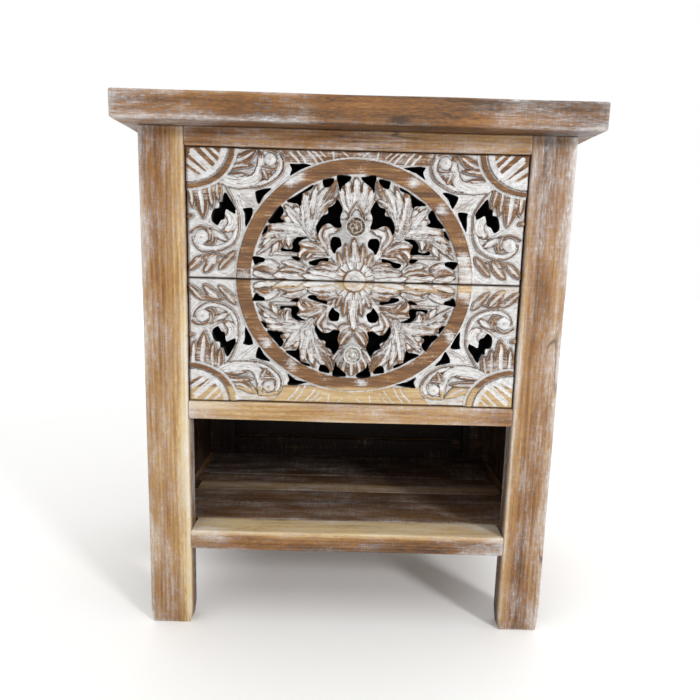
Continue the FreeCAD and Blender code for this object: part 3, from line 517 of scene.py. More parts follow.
# Outlines of the piercings
PIERCINGS = (
    ((140, 92), (131, 79), (129.8, 70), (135, 71.5), (140, 73.5), (142, 64), (146, 62), (150, 56.5),
     (156, 61), (156, 68), (153, 74), (148, 75.5), (147, 81), (143.5, 82.5)),
    ((109, 90), (107, 94), (92, 97), (100, 88), (104, 80), (107, 83)),
    ((121, 76), (110, 75), (119, 56), (120, 70)),
    ((71, 124), (49, 121.5), (62, 117), (72, 111), (70, 118)),
    ((21, 112), (6, 112), (8, 107), (13, 103), (16, 100), (18, 95), (20, 103)),
    ((37, 106), (33, 108), (25, 109), (25.5, 104), (29, 100), (35, 99)),
    ((75, 84.5), (64, 92), (55, 98), (47, 101.5), (48, 98), (53, 95.5), (58, 93), (59, 84), (60.5, 79),
     (64, 82), (70, 82.5)),
    ((82, 79), (78, 75), (77.5, 71), (80, 66), (76, 63), (80, 61), (95, 60.5), (88, 70)),
    ((96, 58), (95, 53), (99, 49), (102, 48.5)),
    ((21, 87), (17, 82), (15, 76), (17, 70), (17, 65), (15.5, 58), (22, 57.5), (29, 61), (35, 59),
     (40, 51), (42, 58), (38, 68), (31, 72), (31, 78), (25, 81)),
    ((27, 42), (24, 47), (17, 47), (15, 44), (15, 38), (20, 34), (22, 30), (24, 31), (27, 37)),
    ((52, 46), (57, 47), (64, 46), (69, 40), (69, 34), (75, 33), (80, 35), (81, 31), (70, 30.5),
     (61, 30.5), (60, 36), (62, 40), (57, 44)),
    ((70, 25), (62, 25.5), (60, 22), (64, 21), (68, 23)),
    ((51, 20), (47, 22), (40, 24), (30, 26), (30, 22), (38, 21.5), (42, 17), (49, 17)),
    ((111, 25), (99, 24), (99, 20), (105, 18), (109, 16), (111, 20)),
)

# Leaflets of each leaf, the lower ones first: spine from root to tip, half-width and hollowed share of it
LEAFLETS = {
    "along the split": (
        (((84, 15), (95, 20), (105, 18)), 3.2, 0.6), (((88, 3), (100, 5), (113, 9)), 3.8, 0.7),
        (((84, 9), (97, 13.5), (111, 13)), 4.2, 0.0), (((54, 13), (66, 18), (79, 18)), 4.0, 0.8),
        (((58, 3), (74, 4), (91, 7)), 4.0, 0.8), (((54, 8), (70, 11.5), (85, 9)), 3.6, 0.57),
        (((16, 14), (28, 19), (41, 19)), 3.2, 0.4), (((20, 2), (40, 3), (61, 6)), 4.2, 0.8),
        (((17, 10), (32, 14), (50, 13)), 3.4, 0.4), (((18, 6), (36, 8.5), (54, 10)), 3.4, 0.7),
    ),
    "diagonal": (
        (((50, 50), (64, 60), (79, 68)), 5.5, 0.9), (((50, 53), (60, 68), (67, 81)), 5.5, 0.9),
        (((46, 46), (60, 62), (79, 82)), 5.2, 0.85),
    ),
    "sideways": (
        (((68, 48), (80, 44), (92, 26)), 4.0, 0.6), (((60, 50), (84, 46), (105, 36)), 4.6, 0.85),
        (((58, 51), (80, 51), (103, 45)), 4.6, 0.85), (((66, 48), (77, 44), (83, 33)), 3.4, 0.5),
        (((70, 48), (78, 43), (77, 35)), 3.2, 0.4), (((66, 48), (72, 44), (72, 34)), 3.2, 0.6),
        (((56, 49), (75, 49), (92, 39), (107, 27)), 3.4, 0.6),
        (((50, 50), (70, 57), (97, 54)), 5.0, 0.75),
    ),
    "upright": (
        (((43, 52), (42, 64), (38, 72), (31, 78)), 3.6, 0.7),
        (((44, 54), (41, 70), (35, 81), (22, 88)), 4.4, 0.62),
        (((40, 76), (31, 90), (21, 107)), 4.8, 0.2),
        (((45, 52), (44, 74), (38, 90), (27, 106)), 4.4, 0.8),
        (((46, 50), (48, 70), (46, 88), (42, 104)), 4.6, 0.75),
        (((48, 50), (53, 66), (55, 82), (54, 97)), 6.6, 0.65),
    ),
    "curled": (
        (((33, 31), (46, 31), (55, 22)), 3.6, 0.57),
        (((34, 32), (48, 36), (59, 30), (60, 20)), 5.4, 0.57),
        (((33, 33), (46, 38), (62, 38.5)), 4.2, 0.57),
    ),
    "hooked": (
        (((30, 39), (31, 51), (16, 56)), 4.0, 0.8), (((31, 36), (38, 49), (32, 61)), 4.4, 0.57),
    ),
    "foot of the palmette": (
        (((13, 14), (19, 31)), 4.4, 0.42), (((7, 17), (10, 41)), 4.4, 0.42),
    ),
    "fingers": (
        (((140, 121), (122, 126), (106.5, 136)), 6.2, 0.4),
        (((147, 117.5), (128, 119), (110.5, 119.3)), 4.0, 0.5),
        (((153, 109), (134, 109.3), (116.5, 109.3)), 4.0, 0.5),
    ),
    "under the corner": (
        (((151, 106), (145.5, 81.5)), 4.4, 0.4), (((157, 106), (154, 74.5)), 4.8, 0.45),
        (((177, 106), (175.5, 73.5)), 5.0, 0.55), (((168, 106), (165.5, 82), (164.5, 63)), 7.0, 0.55),
        (((183, 66), (175, 66)), 2.6, 0.0),
    ),
    "top scroll": (
        (((152, 110), (139, 104.5), (122, 101.8), (109, 106), (103, 118), (103, 138)), 6.0, 0.97),
        (((93.5, 115), (91.5, 109.5)), 2.6, 0.0), (((100.5, 117), (98, 111), (95.5, 104.5)), 4.2, 0.45),
    ),
    "side scroll": (
        (((141, 73), (133.8, 66), (134, 57), (144, 50)), 5.6, 0.95),
        (((157, 52), (154, 44), (156, 38), (163, 36.5)), 3.4, 0.3),
        (((152, 49), (145, 44.5), (138, 40)), 3.8, 0.6),
    ),
    "by the split": (
        (((180, 13), (167, 21), (142, 24.8)), 3.0, 0.0), (((166, 23), (172, 17), (181.5, 8)), 4.6, 0.5),
        (((150, 23.5), (156, 16), (165, 6.5)), 5.2, 0.55),
        (((131.5, 28), (138, 20), (148, 8.5)), 4.4, 0.45),
    ),
}
KNOB_LEAFLETS = {
    "upper": (
        (((0, 17), (0, 48)), 4.8, 0.7), (((8, 70), (16, 79), (21, 90)), 4.6, 0.8),
        (((7, 74), (14, 87), (18, 102)), 4.8, 0.8), (((5, 78), (9, 95), (10, 111)), 4.8, 0.7),
        (((0, 80), (0, 113)), 4.8, 0.8),
    ),
    "lower": (
        (((4, 51), (14, 57), (20, 70)), 4.8, 0.5), (((2, 57), (9, 65), (15, 76)), 5.2, 0.5),
        (((0, 17), (0, 60)), 5.6, 0.6), (((12, 80), (18, 85), (22, 94)), 4.6, 0.55),
        (((10, 86), (15, 94), (18, 104)), 4.6, 0.55), (((6, 90), (9, 100), (10, 111)), 4.6, 0.55),
        (((0, 92), (0, 113)), 4.8, 0.55),
    ),
}

# The two scrolls and the stalks: sanded lines, painted stems and grooved stalks with their half-widths, ribs,
# fine cuts, and eyes with their radii
SCROLL_LINES = (
    (((141, 104), (133, 101.5), (122, 97.8), (112, 96.8), (101, 98.3), (92, 103), (84.5, 108.5),
      (79.5, 115), (78, 122), (79.5, 130), (84, 136)), 1.0),
    (((140, 98), (136, 92), (131, 84), (127.5, 73), (126.3, 62), (127, 51), (129.5, 42), (135.5, 35),
      (144, 30.5), (155, 28), (163, 28.8), (170, 32.5), (175, 38.5), (176.5, 44.5)), 1.0),
    (((158.6, 42), (159, 48), (162, 52.5), (167.5, 54.3), (173, 53), (178, 49.5)), 1.7),
    (((101, 118.2), (92, 117.2), (85.8, 118), (84.6, 123), (87, 127.2)), 1.6),
    (((102, 136.3), (93, 136.8), (84.5, 134)), 1.7),
)
STEMS = (
    (((113, 100), (102, 101.8), (93.5, 106), (86.8, 111.5), (82.6, 118), (81.6, 124.5), (84, 131)), 2.4),
    (((129, 72), (129, 58), (131, 47), (136.3, 39.2), (144.7, 33.8), (155, 31.4), (163.5, 32.2),
      (169.7, 36), (173, 42)), 2.5),
)
STALKS = (
    (((92, 28), (62, 27.8)), 1.7), (((48, 26.5), (28, 26.8)), 1.7),
    (((10, 12), (26, 31), (40, 47), (50, 54)), 3.4),
)
RIBS = (
    ((40, 42), (49, 52), (53.5, 66), (56, 80), (57, 93)), ((51, 55), (63, 58.5), (78, 60), (95, 58)),
    ((60, 50), (74, 48.5), (90, 42), (106, 29)), ((50, 53), (58, 62), (67, 71), (77, 80)),
    ((62, 48.5), (82, 48), (103, 44)),
    ((34, 33), (48, 40), (61, 40.5)), ((46, 54), (45, 74), (41, 90), (30, 103)),
    ((44, 55), (41, 70), (36, 80), (25, 87)),
    ((22, 13), (40, 15.5), (50, 11)), ((56, 15), (70, 19.5), (80, 19)), ((86, 12), (98, 17.5), (108, 14)),
)
CUTS = (
    ((128, 90), (119, 83.5), (110, 77.5)), ((124.5, 91.5), (116, 85), (109, 80)),
    ((160, 60), (150, 53.5), (143, 49)),
)
EYES = (((93, 127), 6.6), ((167, 43.8), 7.4))

# Strokes of the gouge in the corners, with their half-widths
CORNER_STROKES = (
    (((175, 133), (150, 111)), 3.2), (((177, 130), (154, 109)), 1.4), (((186, 127), (158, 107)), 3.0),
    (((165, 137), (147, 119)), 2.2), (((157, 138), (145, 128)), 1.8), (((186, 117), (168, 104)), 3.0),
)

# Strokes of the feathered bands between the ring and the drawers' outer edges, with their half-widths
FEATHERS = (
    (((69, 134), (62, 127), (57, 119)), 1.4), (((62, 136), (55, 128), (50, 118)), 1.2),
    (((51, 136), (44, 129), (39, 122)), 1.2), (((46, 137), (39, 131), (34, 125)), 1.0),
    (((38, 136), (32, 131)), 0.9), (((24, 136), (23, 128)), 1.1), (((16, 138), (8, 132)), 0.9),
)

# The small scroll over the upper knob: its line, and its eye with its radius
HOOD = ((9, 65), (7, 74), (0, 85))
HOOD_EYE = ((14, 70), 4.0)

# Spots where the ring keeps its paint: level, across, up and radius
UNSANDED = (
    ("upper", -74, 107, 9), ("upper", -62, 110, 8), ("upper", -121, 5, 11), ("upper", 121, 8, 15),
    ("upper", 118, 26, 9), ("upper", 60, 106, 7), ("upper", 92, 78, 7), ("lower", 121, 10, 12),
    ("lower", 108, 58, 8), ("lower", -95, 70, 6), ("lower", -68, 92, 9), ("lower", 12, 113, 8),
)


def smooth_line(points, closed=False, steps=6):
    """Points along a smooth curve through the given ones."""
    p = np.array(points, float)
    if closed:
        p = np.vstack([p[-1:], p, p[:2]])
    else:
        p = np.vstack([2 * p[:1] - p[1:2], p, 2 * p[-1:] - p[-2:-1]])
    t = np.linspace(0, 1, steps, endpoint=False)[:, None]
    runs = []
    for a, b, c, d in zip(p, p[1:], p[2:], p[3:]):
        runs.append(0.5 * (2 * b + (c - a) * t + (2 * a - 5 * b + 4 * c - d) * t ** 2
                           + (3 * b - a - 3 * c + d) * t ** 3))
    if not closed:
        runs.append(p[-2:-1])
    return np.vstack(runs)


def rise(low, high, value):
    """A smooth change from 0 at low to 1 at high."""
    t = np.clip((value - low) / (high - low), 0, 1)
    return t * t * (3 - 2 * t)


def along_line(line, points):
    """For each point: its place along a line, its distance and its nearest spot; then the line's length."""
    run = np.diff(line, axis=0)
    length = np.hypot(*run.T)
    start = np.concatenate([[0], np.cumsum(length)])
    best = np.full(len(points), np.inf)
    place, spot = np.zeros(len(points)), np.zeros(points.shape)
    for a, d, n, s in zip(line, run, length, start):
        q = points - a
        k = np.clip(q @ d / (n * n), 0, 1)
        gap = q - k[:, None] * d
        distance = np.hypot(*gap.T)
        closer = distance < best
        best[closer] = distance[closer]
        place[closer] = (s + k * n)[closer]
        spot[closer] = (points - gap)[closer]
    return place, best, spot, start[-1]


class Relief:
    """A carved surface: its heights in millimetres, how far it is sanded, and how its fine cuts flow."""

    def __init__(self, x, y, top):
        self.x, self.y, self.top = x, y, top
        self.height = np.full(x.shape, GROUND)
        self.bare = np.full(x.shape, RUBBED)
        self.flow = np.full(x.shape, -GOUGED / GOUGE_SPACING)

    def near(self, points, reach):
        """The surface near a curve: which points, their place along it, their distance, and its length."""
        reach = reach + GOUGED
        line = smooth_line(points)
        low, high = line.min(0) - reach, line.max(0) + reach
        across, up = (self.x > low[0]) & (self.x < high[0]), (self.y > low[1]) & (self.y < high[1])
        pick = np.nonzero(across & up)[0]
        place, distance, _, length = along_line(line, np.stack([self.x[pick], self.y[pick]], 1))
        return pick, place, distance, length

    def lay(self, pick, inside, height, bare, flow=0.0, edge=1.2):
        """Lay a form over the surface, with a crease cut round it."""
        crease = (inside > -edge) & (inside <= 0)
        self.height[pick[crease]] -= CREASE * (1 + inside[crease] / edge)
        own = inside > 0
        around = pick[~own]
        gouge = (inside[~own] - edge) / GOUGE_SPACING
        before = self.flow[around]
        self.flow[around] = np.where(before > 0, before, np.maximum(before, gouge))
        self.height[pick[own]] = height[own]
        self.bare[pick[own]] = bare[own]
        self.flow[pick[own]] = np.broadcast_to(flow, own.shape)[own]

    def ring(self, radius, radii):
        """A flat sanded band with lower painted borders, given each point's distance from its centre."""
        a, b, c, d = radii
        pick = np.nonzero((radius > a - 0.6) & (radius < d + 0.6))[0]
        r = radius[pick]
        border = rise(a - 0.6, a, r) * rise(-d - 0.6, -d, -r)
        flat = rise(b - 1, b, r) * rise(-c - 1, -c, -r)
        self.height[pick] = GROUND + border * (self.top - 2 * GROUND) + flat * GROUND
        self.bare[pick] = CLEAN * flat
        self.flow[pick] = 0

    def line(self, points, half, sanded=0.75):
        """A thin raised line between two creases."""
        pick, _, d, _ = self.near(points, half + 1.5)
        height = self.top - 1 - 1.2 * (d / half) ** 2
        self.lay(pick, half - d, height, sanded * rise(half, half * 0.4, d), edge=0.8)

    def cut(self, points):
        """A fine cut of the veiner."""
        pick, _, d, _ = self.near(points, 1.2)
        self.height[pick] -= 1.3 * rise(1.1, 0, d)

    def stem(self, points, half):
        """A round painted stem."""
        pick, _, d, _ = self.near(points, half + 1.5)
        height = (self.top - 1) * np.sqrt(np.clip(1 - 0.6 * (d / half) ** 2, 0, 1))
        self.lay(pick, half - d, height, np.zeros(d.shape), edge=0.6)

    def stalk(self, points, half):
        """A round stalk with a groove along its middle."""
        pick, _, d, _ = self.near(points, half + 1.5)
        u = d / half
        height = (self.top - 0.5) * np.sqrt(np.clip(1 - 0.5 * u ** 2, 0, 1)) - 1.2 * rise(0.3, 0, u)
        self.lay(pick, half - d, height, 0.5 * rise(0.3, 0.5, u) * rise(0.9, 0.6, u))

    def leaflet(self, spine, half, hollow):
        """A leaflet with a pointed, lifted tip, hollowed and veined along its middle."""
        pick, place, d, length = self.near(spine, half + 1.5)
        t = place / length
        veined = hollow > VEINED
        width = half * np.clip(0.6 + 0.6 * np.sin(np.pi * t ** 0.85), 0, 1)
        width = width * np.sqrt(np.clip(1.02 - t ** 4, 0, 1))
        if veined:
            width = width * (0.97 + 0.05 * np.cos(2 * np.pi * place / LOBE))
        width = np.maximum(width, 0.01)
        bowl = np.zeros(d.shape)
        if hollow:
            flute = width * (hollow if veined else 0.65 * hollow)
            bowl = np.clip(1 - (d / flute) ** 2, 0, 1) * rise(0.98, 0.65, t)
        height = self.top - 1.7 * np.sqrt(bowl) - 0.9 * (1 - t) - 1.1 * rise(1.1, 0, width - d)
        root = 0.25 if veined else 0.6
        bare = rise(0.5, 0.0, bowl) * (root + (1 - root) * rise(0.2, 0.75, t))
        veins = (d + 0.12 * (length - place) + 0.05) / VEIN_SPACING
        self.lay(pick, width - d, height, bare, veins if veined else 0.0)

    def ball(self, centre, radius):
        """The round eye of a scroll, sanded at its middle."""
        r = np.hypot(self.x - centre[0], self.y - centre[1])
        pick = np.nonzero(r < radius + GOUGED)[0]
        u = r[pick] / radius
        height = GROUND + (self.top - GROUND - 0.4) * np.sqrt(np.clip(1 - u ** 2, 0, 1))
        self.lay(pick, radius - r[pick], height, 0.5 * rise(0.35, 0.15, u))

    def field(self, where, bare, x, y, strokes, height):
        """A flat part of the board, with strokes of a round gouge that stay painted."""
        self.height[where] = height
        self.bare[where] = bare[where]
        self.flow[where] = 0
        self.x, self.y = np.where(where, x, np.inf), y
        for points, half in strokes:
            pick, _, d, _ = self.near(points, half + 0.5)
            self.height[pick] -= 0.9 * rise(half, 0, d)
            self.bare[pick] *= rise(half * 0.5, half, d)


def hand_drift(across, up, seed):
    """The unevenness of hand work: every line drifts a little."""
    x, y = across.copy(), up.copy()
    for k in range(1, 5):
        turn = 2 * math.pi * k / DRIFT_WAVE
        x += DRIFT_ACROSS / k * np.sin(turn * up + 1.7 * seed + 2.3 * k + 0.3 * turn * across)
        y += DRIFT_UP / k * np.sin(turn * across + 2.9 * seed + 1.1 * k + 0.4 * turn * up)
    return x, y


def squash(level):
    """How much lower than drawn a drawer's ornament is."""
    return 1.0 if level == "upper" else LOWER_SQUASH


def on_design(across, up, level):
    """Where points of a drawer front lie on the drawn quarter of the design."""
    x, y = hand_drift(across, up, LEVELS.index(level) + 1)
    return np.abs(x), y / squash(level)


def carved_relief(across, up, level, top):
    """The carved surface of a drawer front."""
    x, y = on_design(across, up, level)
    work = Relief(x, y, top)
    for points in CUTS:
        work.cut(points)
    leaflets = [leaflet for leaf in LEAFLETS.values() for leaflet in leaf]
    ribs = [(rib, 1.0, 0.3) for rib in RIBS]
    for carve, forms in ((work.stem, STEMS), (work.line, SCROLL_LINES[:2]), (work.stalk, STALKS),
                         (work.leaflet, leaflets), (work.line, SCROLL_LINES[2:]), (work.line, ribs),
                         (work.ball, EYES), (work.leaflet, KNOB_LEAFLETS[level])):
        for form in forms:
            carve(*form)
    if level == "upper":
        work.line(HOOD, 1.6)
        work.ball(*HOOD_EYE)

    # Rosette: rays round a plain disc, with a groove between them and dots on the disc
    r = np.hypot(x, y)
    angle = np.arctan2(y, x)
    rays = (r > ROSETTE) & (r < ROSETTE_RAYS)
    ray = 0.5 + 0.5 * np.cos(angle * RAY_COUNT + 2 * np.sin(3 * angle))
    work.height[rays] = np.maximum(work.height[rays] - 2, (top - 1.2 - 2 * ray - 0.12 * (r - ROSETTE))[rays])
    work.bare[rays] = rise(0.3, 0.0, ray)[rays] * 0.8
    work.height[r <= ROSETTE] = top - 1
    work.flow[r < ROSETTE_RAYS] = 0
    work.bare[r <= ROSETTE] = 0.2
    work.bare[(r > ROSETTE_EDGE) & (r < ROSETTE)] = 0.6
    work.height[(r > ROSETTE - 1.6) & (r < ROSETTE + 0.2)] = top - 2.8
    for turn in np.radians(DOTS):
        dot = np.hypot(x - DOT_RADIUS * math.cos(turn), y - DOT_RADIUS * math.sin(turn))
        work.height -= 1.4 * rise(1.5, 0.4, dot)

    # The ring, the corners and the feathered band are drawn truer, and keep their places on the board.
    # A corner is sanded inside its margin, over a slanting line
    plain_x, plain_y = np.abs(across), up / squash(level)
    corner = np.hypot(plain_x - CORNER[0], (up - CORNER[1]) / CORNER_SQUASH)
    inner = CORNER_BAND[0]
    margin = rise(inner - 5, inner - 9, corner) * rise(103, 111, up - 0.25 * (plain_x - 160))
    work.field(corner < inner, margin, plain_x, up, CORNER_STROKES, top - 0.5)
    work.ring(corner, CORNER_BAND)
    radius = np.hypot(plain_x, plain_y)
    work.ring(radius, RING)
    end = FEATHER_END + FEATHER_CURVE * np.clip(plain_y - FEATHER_START, 0, None) ** 2
    band = (plain_x < end) & (plain_y > FEATHER_START) & (radius > RING[3])
    feathered = np.full(up.shape, FEATHERED)
    work.field(band, feathered, np.abs(across + FEATHER_SHIFT), up, FEATHERS, top - GROUND)
    seat = np.hypot(across, up - KNOB_RISE[level])
    work.height[seat < KNOB_GROOVE] = top - 2.4
    work.height[seat < KNOB_SEAT] = top - 0.2
    for where, spot_across, spot_up, reach in UNSANDED:
        if where == level:
            away = (across - spot_across) ** 2 + (up - spot_up) ** 2
            work.bare *= 1 - PATCHED * np.exp(-away / reach ** 2)
    return np.clip(work.height, 0, top), work.bare, work.flow


def inside_line(line, x, y):
    """Which points lie inside a closed line."""
    hit = np.zeros(x.shape, bool)
    for (ax, ay), (bx, by) in zip(line, np.roll(line, -1, axis=0)):
        if ay != by:
            hit ^= ((ay > y) != (by > y)) & (x < (bx - ax) * (y - ay) / (by - ay) + ax)
    return hit


def soften(height, times):
    """Heights averaged with their neighbours."""
    for _ in range(times):
        p = np.pad(height, 1, mode="edge")
        height = (p[:-2, 1:-1] + p[2:, 1:-1] + p[1:-1, :-2] + p[1:-1, 2:] + 2 * height) / 6
    return height


def carved_finish(across, up, height, bare, level):
    """How far each point is sanded, darkened in its hollows with grime and painted shade, and of sapwood."""
    proud = height - soften(height, 6)
    sanded = np.clip(bare + 0.5 * rise(0.25, 0.8, proud), 0, CLEAN)
    # Hollows and creases get the crease colour: painted shade, with some grime
    crease = rise(0.3, 1.1, -proud)
    sap = np.zeros(height.shape)
    if level == "lower":
        sap = rise(-2, 2, up - SAP_FOOT + 0.02 * across)
        sap = sap + rise(-2, 2, SAP_SPLIT - up) * rise(*SAP_FADE, across)
    sap = np.clip(sap, 0, 1)
    sanded = np.clip(sanded + 0.32 * sap, 0, CLEAN)
    return np.stack([sanded, crease, sap * 0.85, np.zeros(height.shape)], -1)


def carved_front(level):
    """A pierced and carved drawer front: a fine grid that is carved, pierced and given its thickness."""
    node = f"{level}_drawer_carved_front"
    low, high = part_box(node)
    split = (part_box("upper_drawer_carved_front")[0].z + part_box("lower_drawer_carved_front")[1].z) / 2
    up_sign = 1 if level == "upper" else -1
    top = sizes().relief / MM

    def drawn_at(points):
        """Where points of the front lie on the drawn design."""
        points = np.array(points)
        return on_design(points[:, 0] / MM, (points[:, 2] - split) / MM * up_sign, level)

    def at_edge(vert):
        """Whether a point lies on the front's outer edge, and not on a piercing's."""
        return min(vert.co.x - low.x, high.x - vert.co.x, vert.co.z - low.z, high.z - vert.co.z) < MM / 4

    columns = round((high.x - low.x) / sizes().carving_step)
    rows = round((high.z - low.z) / sizes().carving_step)
    lines_x, lines_z = np.linspace(low.x, high.x, columns + 1), np.linspace(low.z, high.z, rows + 1)
    grid_x, grid_z = np.meshgrid(lines_x, lines_z)
    across, up = grid_x / MM, (grid_z - split) / MM * up_sign
    carved = carved_relief(across.ravel(), up.ravel(), level, top)
    height, bare, flow = [values.reshape(across.shape) for values in carved]
    finish = carved_finish(across, up, height, bare, level)

    # The arris all round is worn, most of all at the left, and darkened with the crease colour as painted
    # shade of the gap round the front
    inset = np.min([(grid_x - low.x) / 2, high.x - grid_x, grid_z - low.z, high.z - grid_z], axis=0)
    worn = rise(1.4, 0.2, inset / MM)
    height -= 1.6 * worn
    finish[..., 1] = np.maximum(finish[..., 1], worn)

    bm = bmesh.new()
    bmesh.ops.create_grid(bm, x_segments=columns, y_segments=rows, size=1)
    place = Matrix.Translation(((low.x + high.x) / 2, low.y, (low.z + high.z) / 2))
    place = place @ Matrix.Rotation(math.radians(90), 4, "X")
    place = place @ Matrix.Diagonal(((high.x - low.x) / 2, (high.z - low.z) / 2, 1, 1))
    bmesh.ops.transform(bm, matrix=place, verts=bm.verts)
    layer = bm.verts.layers.float_color.new("finish")
    veins = bm.verts.layers.float.new("flow")
    for vert in bm.verts:
        column = round((vert.co.x - low.x) / (high.x - low.x) * columns)
        row = round((vert.co.z - low.z) / (high.z - low.z) * rows)
        vert.co.y = low.y + (top - height[row, column]) * MM
        vert[layer] = finish[row, column]
        vert[veins] = flow[row, column]

    # Pierce it, and draw the ragged edges of the piercings on to their outlines
    outlines = [smooth_line(points, closed=True) for points in PIERCINGS]
    x, y = drawn_at([face.calc_center_median() for face in bm.faces])
    hole = np.zeros(len(x), bool)
    for line in outlines:
        hole |= inside_line(line, x, y)
    bm.faces.ensure_lookup_table()
    bmesh.ops.delete(bm, geom=[bm.faces[i] for i in np.nonzero(hole)[0]], context="FACES")
    rim = [vert for vert in bm.verts if vert.is_boundary and not at_edge(vert)]
    drawn = np.stack(drawn_at([vert.co for vert in rim]), 1)
    nearest = np.full(len(rim), np.inf)
    move = np.zeros((len(rim), 2))
    for line in outlines:
        _, distance, spot, _ = along_line(np.vstack([line, line[:1]]), drawn)
        closer = distance < nearest
        nearest[closer] = distance[closer]
        move[closer] = (spot - drawn)[closer]
    for vert, (dx, dy) in zip(rim, move):
        vert.co.x += math.copysign(1, vert.co.x) * dx * MM
        vert.co.z += up_sign * dy * squash(level) * MM

    # Walls: a painted lip, then black to the back, which is closed. The black of the piercings' walls is
    # painted shade, and the front's outer sides are sanded and darkened with the crease colour as painted
    # shade of the gap round the front
    edges = [edge for edge in bm.edges if edge.is_boundary]
    for depth in (sizes().wall_lip, None):
        made = bmesh.ops.extrude_edge_only(bm, edges=edges)["geom"]
        edges = [item for item in made if isinstance(item, bmesh.types.BMEdge) and item.is_boundary]
        for vert in {v for edge in edges for v in edge.verts}:
            vert.co.y = high.y if depth is None else vert.co.y + depth
            vert[layer] = (1, 0.7, 0, 0) if at_edge(vert) else (0, 0.2, 0, 1)
    back = bmesh.ops.triangle_fill(bm, edges=edges, use_beauty=True, use_dissolve=False)["geom"]
    for face in back:
        if isinstance(face, bmesh.types.BMFace):
            face.material_index = 1
    bmesh.ops.recalc_face_normals(bm, faces=bm.faces)
    mesh = to_mesh(bm, f"{level}_carving")
    finish = finish_named("Sanded whitewashed carving", carved_wood)
    add_piece(f"{level}_carving", mesh, finish, [node], sharp=70)
    mesh.materials.append(finish_named(*RAW_ACROSS))


# A knob's profile from its foot to the middle of its face: shares of its radius and length, and its paint
KNOB_PROFILE = (
    (0.0, 0.0, 0.2), (0.72, 0.0, 0.2), (0.78, 0.06, 0.1), (0.76, 0.15, 0.1), (0.62, 0.26, 0.05),
    (0.64, 0.36, 0.05), (0.9, 0.52, 0.1), (1.0, 0.66, 0.2), (1.0, 0.82, 0.3), (0.97, 0.94, 0.45),
    (0.93, 1.0, 0.48), (0.89, 0.97, 0.3), (0.86, 0.86, 0.05), (0.74, 0.74, 0.08), (0.62, 0.76, 0.12),
    (0.56, 0.82, 0.2), (0.5, 0.81, 0.14), (0.43, 0.73, 0.04), (0.3, 0.72, 0.08), (0.2, 0.75, 0.12),
    (0.1, 0.78, 0.2), (0.0, 0.79, 0.2),
)
# How much broader than its CAD piece each knob is, and how much more paint it has
KNOB_LOOK = {"upper": (1.22, -0.05), "lower": (1.12, 0.12)}


def turned_knob(level):
    """A turned knob: a foot, a neck, and a dished face with a rim and a bead."""
    node = f"{level}_drawer_knob"
    low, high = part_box(node)
    centre = (low + high) / 2
    broader, painted = KNOB_LOOK[level]
    radius, length = (high.x - low.x) / 2 * broader, high.y - low.y
    bm = bmesh.new()
    layer = bm.verts.layers.float.new("finish")
    verts = []
    for out, up, paint in KNOB_PROFILE:
        vert = bm.verts.new((centre.x + out * radius, high.y - up * length, centre.z))
        vert[layer] = paint + painted
        verts.append(vert)
    edges = [bm.edges.new(pair) for pair in zip(verts, verts[1:])]
    bmesh.ops.spin(bm, geom=verts + edges, cent=centre, axis=(0, 1, 0), angle=2 * math.pi, steps=48,
                   use_merge=True)
    bmesh.ops.remove_doubles(bm, verts=bm.verts, dist=MM / 100)
    bmesh.ops.recalc_face_normals(bm, faces=bm.faces)
    mesh = to_mesh(bm, f"{level}_turned_knob")
    material = finish_named("Turned whitewashed knob", turned_wood)
    add_piece(f"{level}_turned_knob", mesh, material, [node])


def dress(names, material):
    """Give CAD nodes whose shape is right their finish."""
    for name in names:
        mesh = frame["nodes"][name].data
        mesh.materials.clear()
        mesh.materials.append(material)


def between_posts(row):
    """The part of a cross rail that shows between two posts."""
    return {X: (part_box(f"leg_{row}_left")[1].x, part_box(f"leg_{row}_right")[0].x)}


def between_rows(side):
    """The part of a side rail that shows between the front and rear posts."""
    return {Y: (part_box(f"leg_front_{side}")[1].y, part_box(f"leg_rear_{side}")[0].y)}


def stained(axis, place, reach, stain_and_shade):
    """The spot of an inner face darkened with the inside stain: partly stain, partly painted shade inside the
    cabinet.
    """
    return {axis: (place, reach)}, (0.3, -0.2, stain_and_shade)


class NIGHTSTAND_OT_posts(bpy.types.Operator):
    """Four worn posts with their grain upright"""
    bl_idname = "nightstand.posts"
    bl_label = "Posts"

    def execute(self, context):
        for side, into in SIDES.items():
            left = side == "left"
            high = ({Z: (1, 0.9)}, (0.14, 0.0, 0.0) if left else (0.2, 0.12, 0.0))
            foot = ({Z: (-1, 0.35)}, (0.1, 0.05, 0.0))
            sap = ({X: (into, 0.7 if left else 0.5), Y: (-1, 1.2)}, (-0.45 if left else -0.25, 0.0, 0.0))
            haze = ({X: (-into, 0.7)}, (0.0, 0.2, 0.0))
            seam = ({X: (into, 0.35), Z: (-0.1, 0.8)}, (0.0, 0.3, 0.0))
            # Painted shade: the posts' inner faces are darkened, and the right one, which looks away from the
            # key light, is stained dark as well
            inner = ({X: (into, 0.12), Y: (0.1, 1.2)}, (0.5, 0.0, 0.0 if left else 0.3))
            brown = ({X: (0, 0.6), Z: (0.42, 0.16)}, (0.25, -0.25, 0.0))
            spots = (high, foot, sap, haze, seam, inner) + (() if left else (brown,))
            tone = 0.5 if left else 0.6
            make_board(f"leg_front_{side}", Z, (tone, 0.1, 0.0), spots=spots, foot=True)
            # Faces of the rear posts that look into the cabinet are darkened: stain and painted shade
            inside = (stained(Y, -1, 0.5, 0.9), stained(X, into, 0.5, 0.9))
            make_board(f"leg_rear_{side}", Z, HIDDEN, spots=(high, foot, *inside), foot=True)
        return {"FINISHED"}


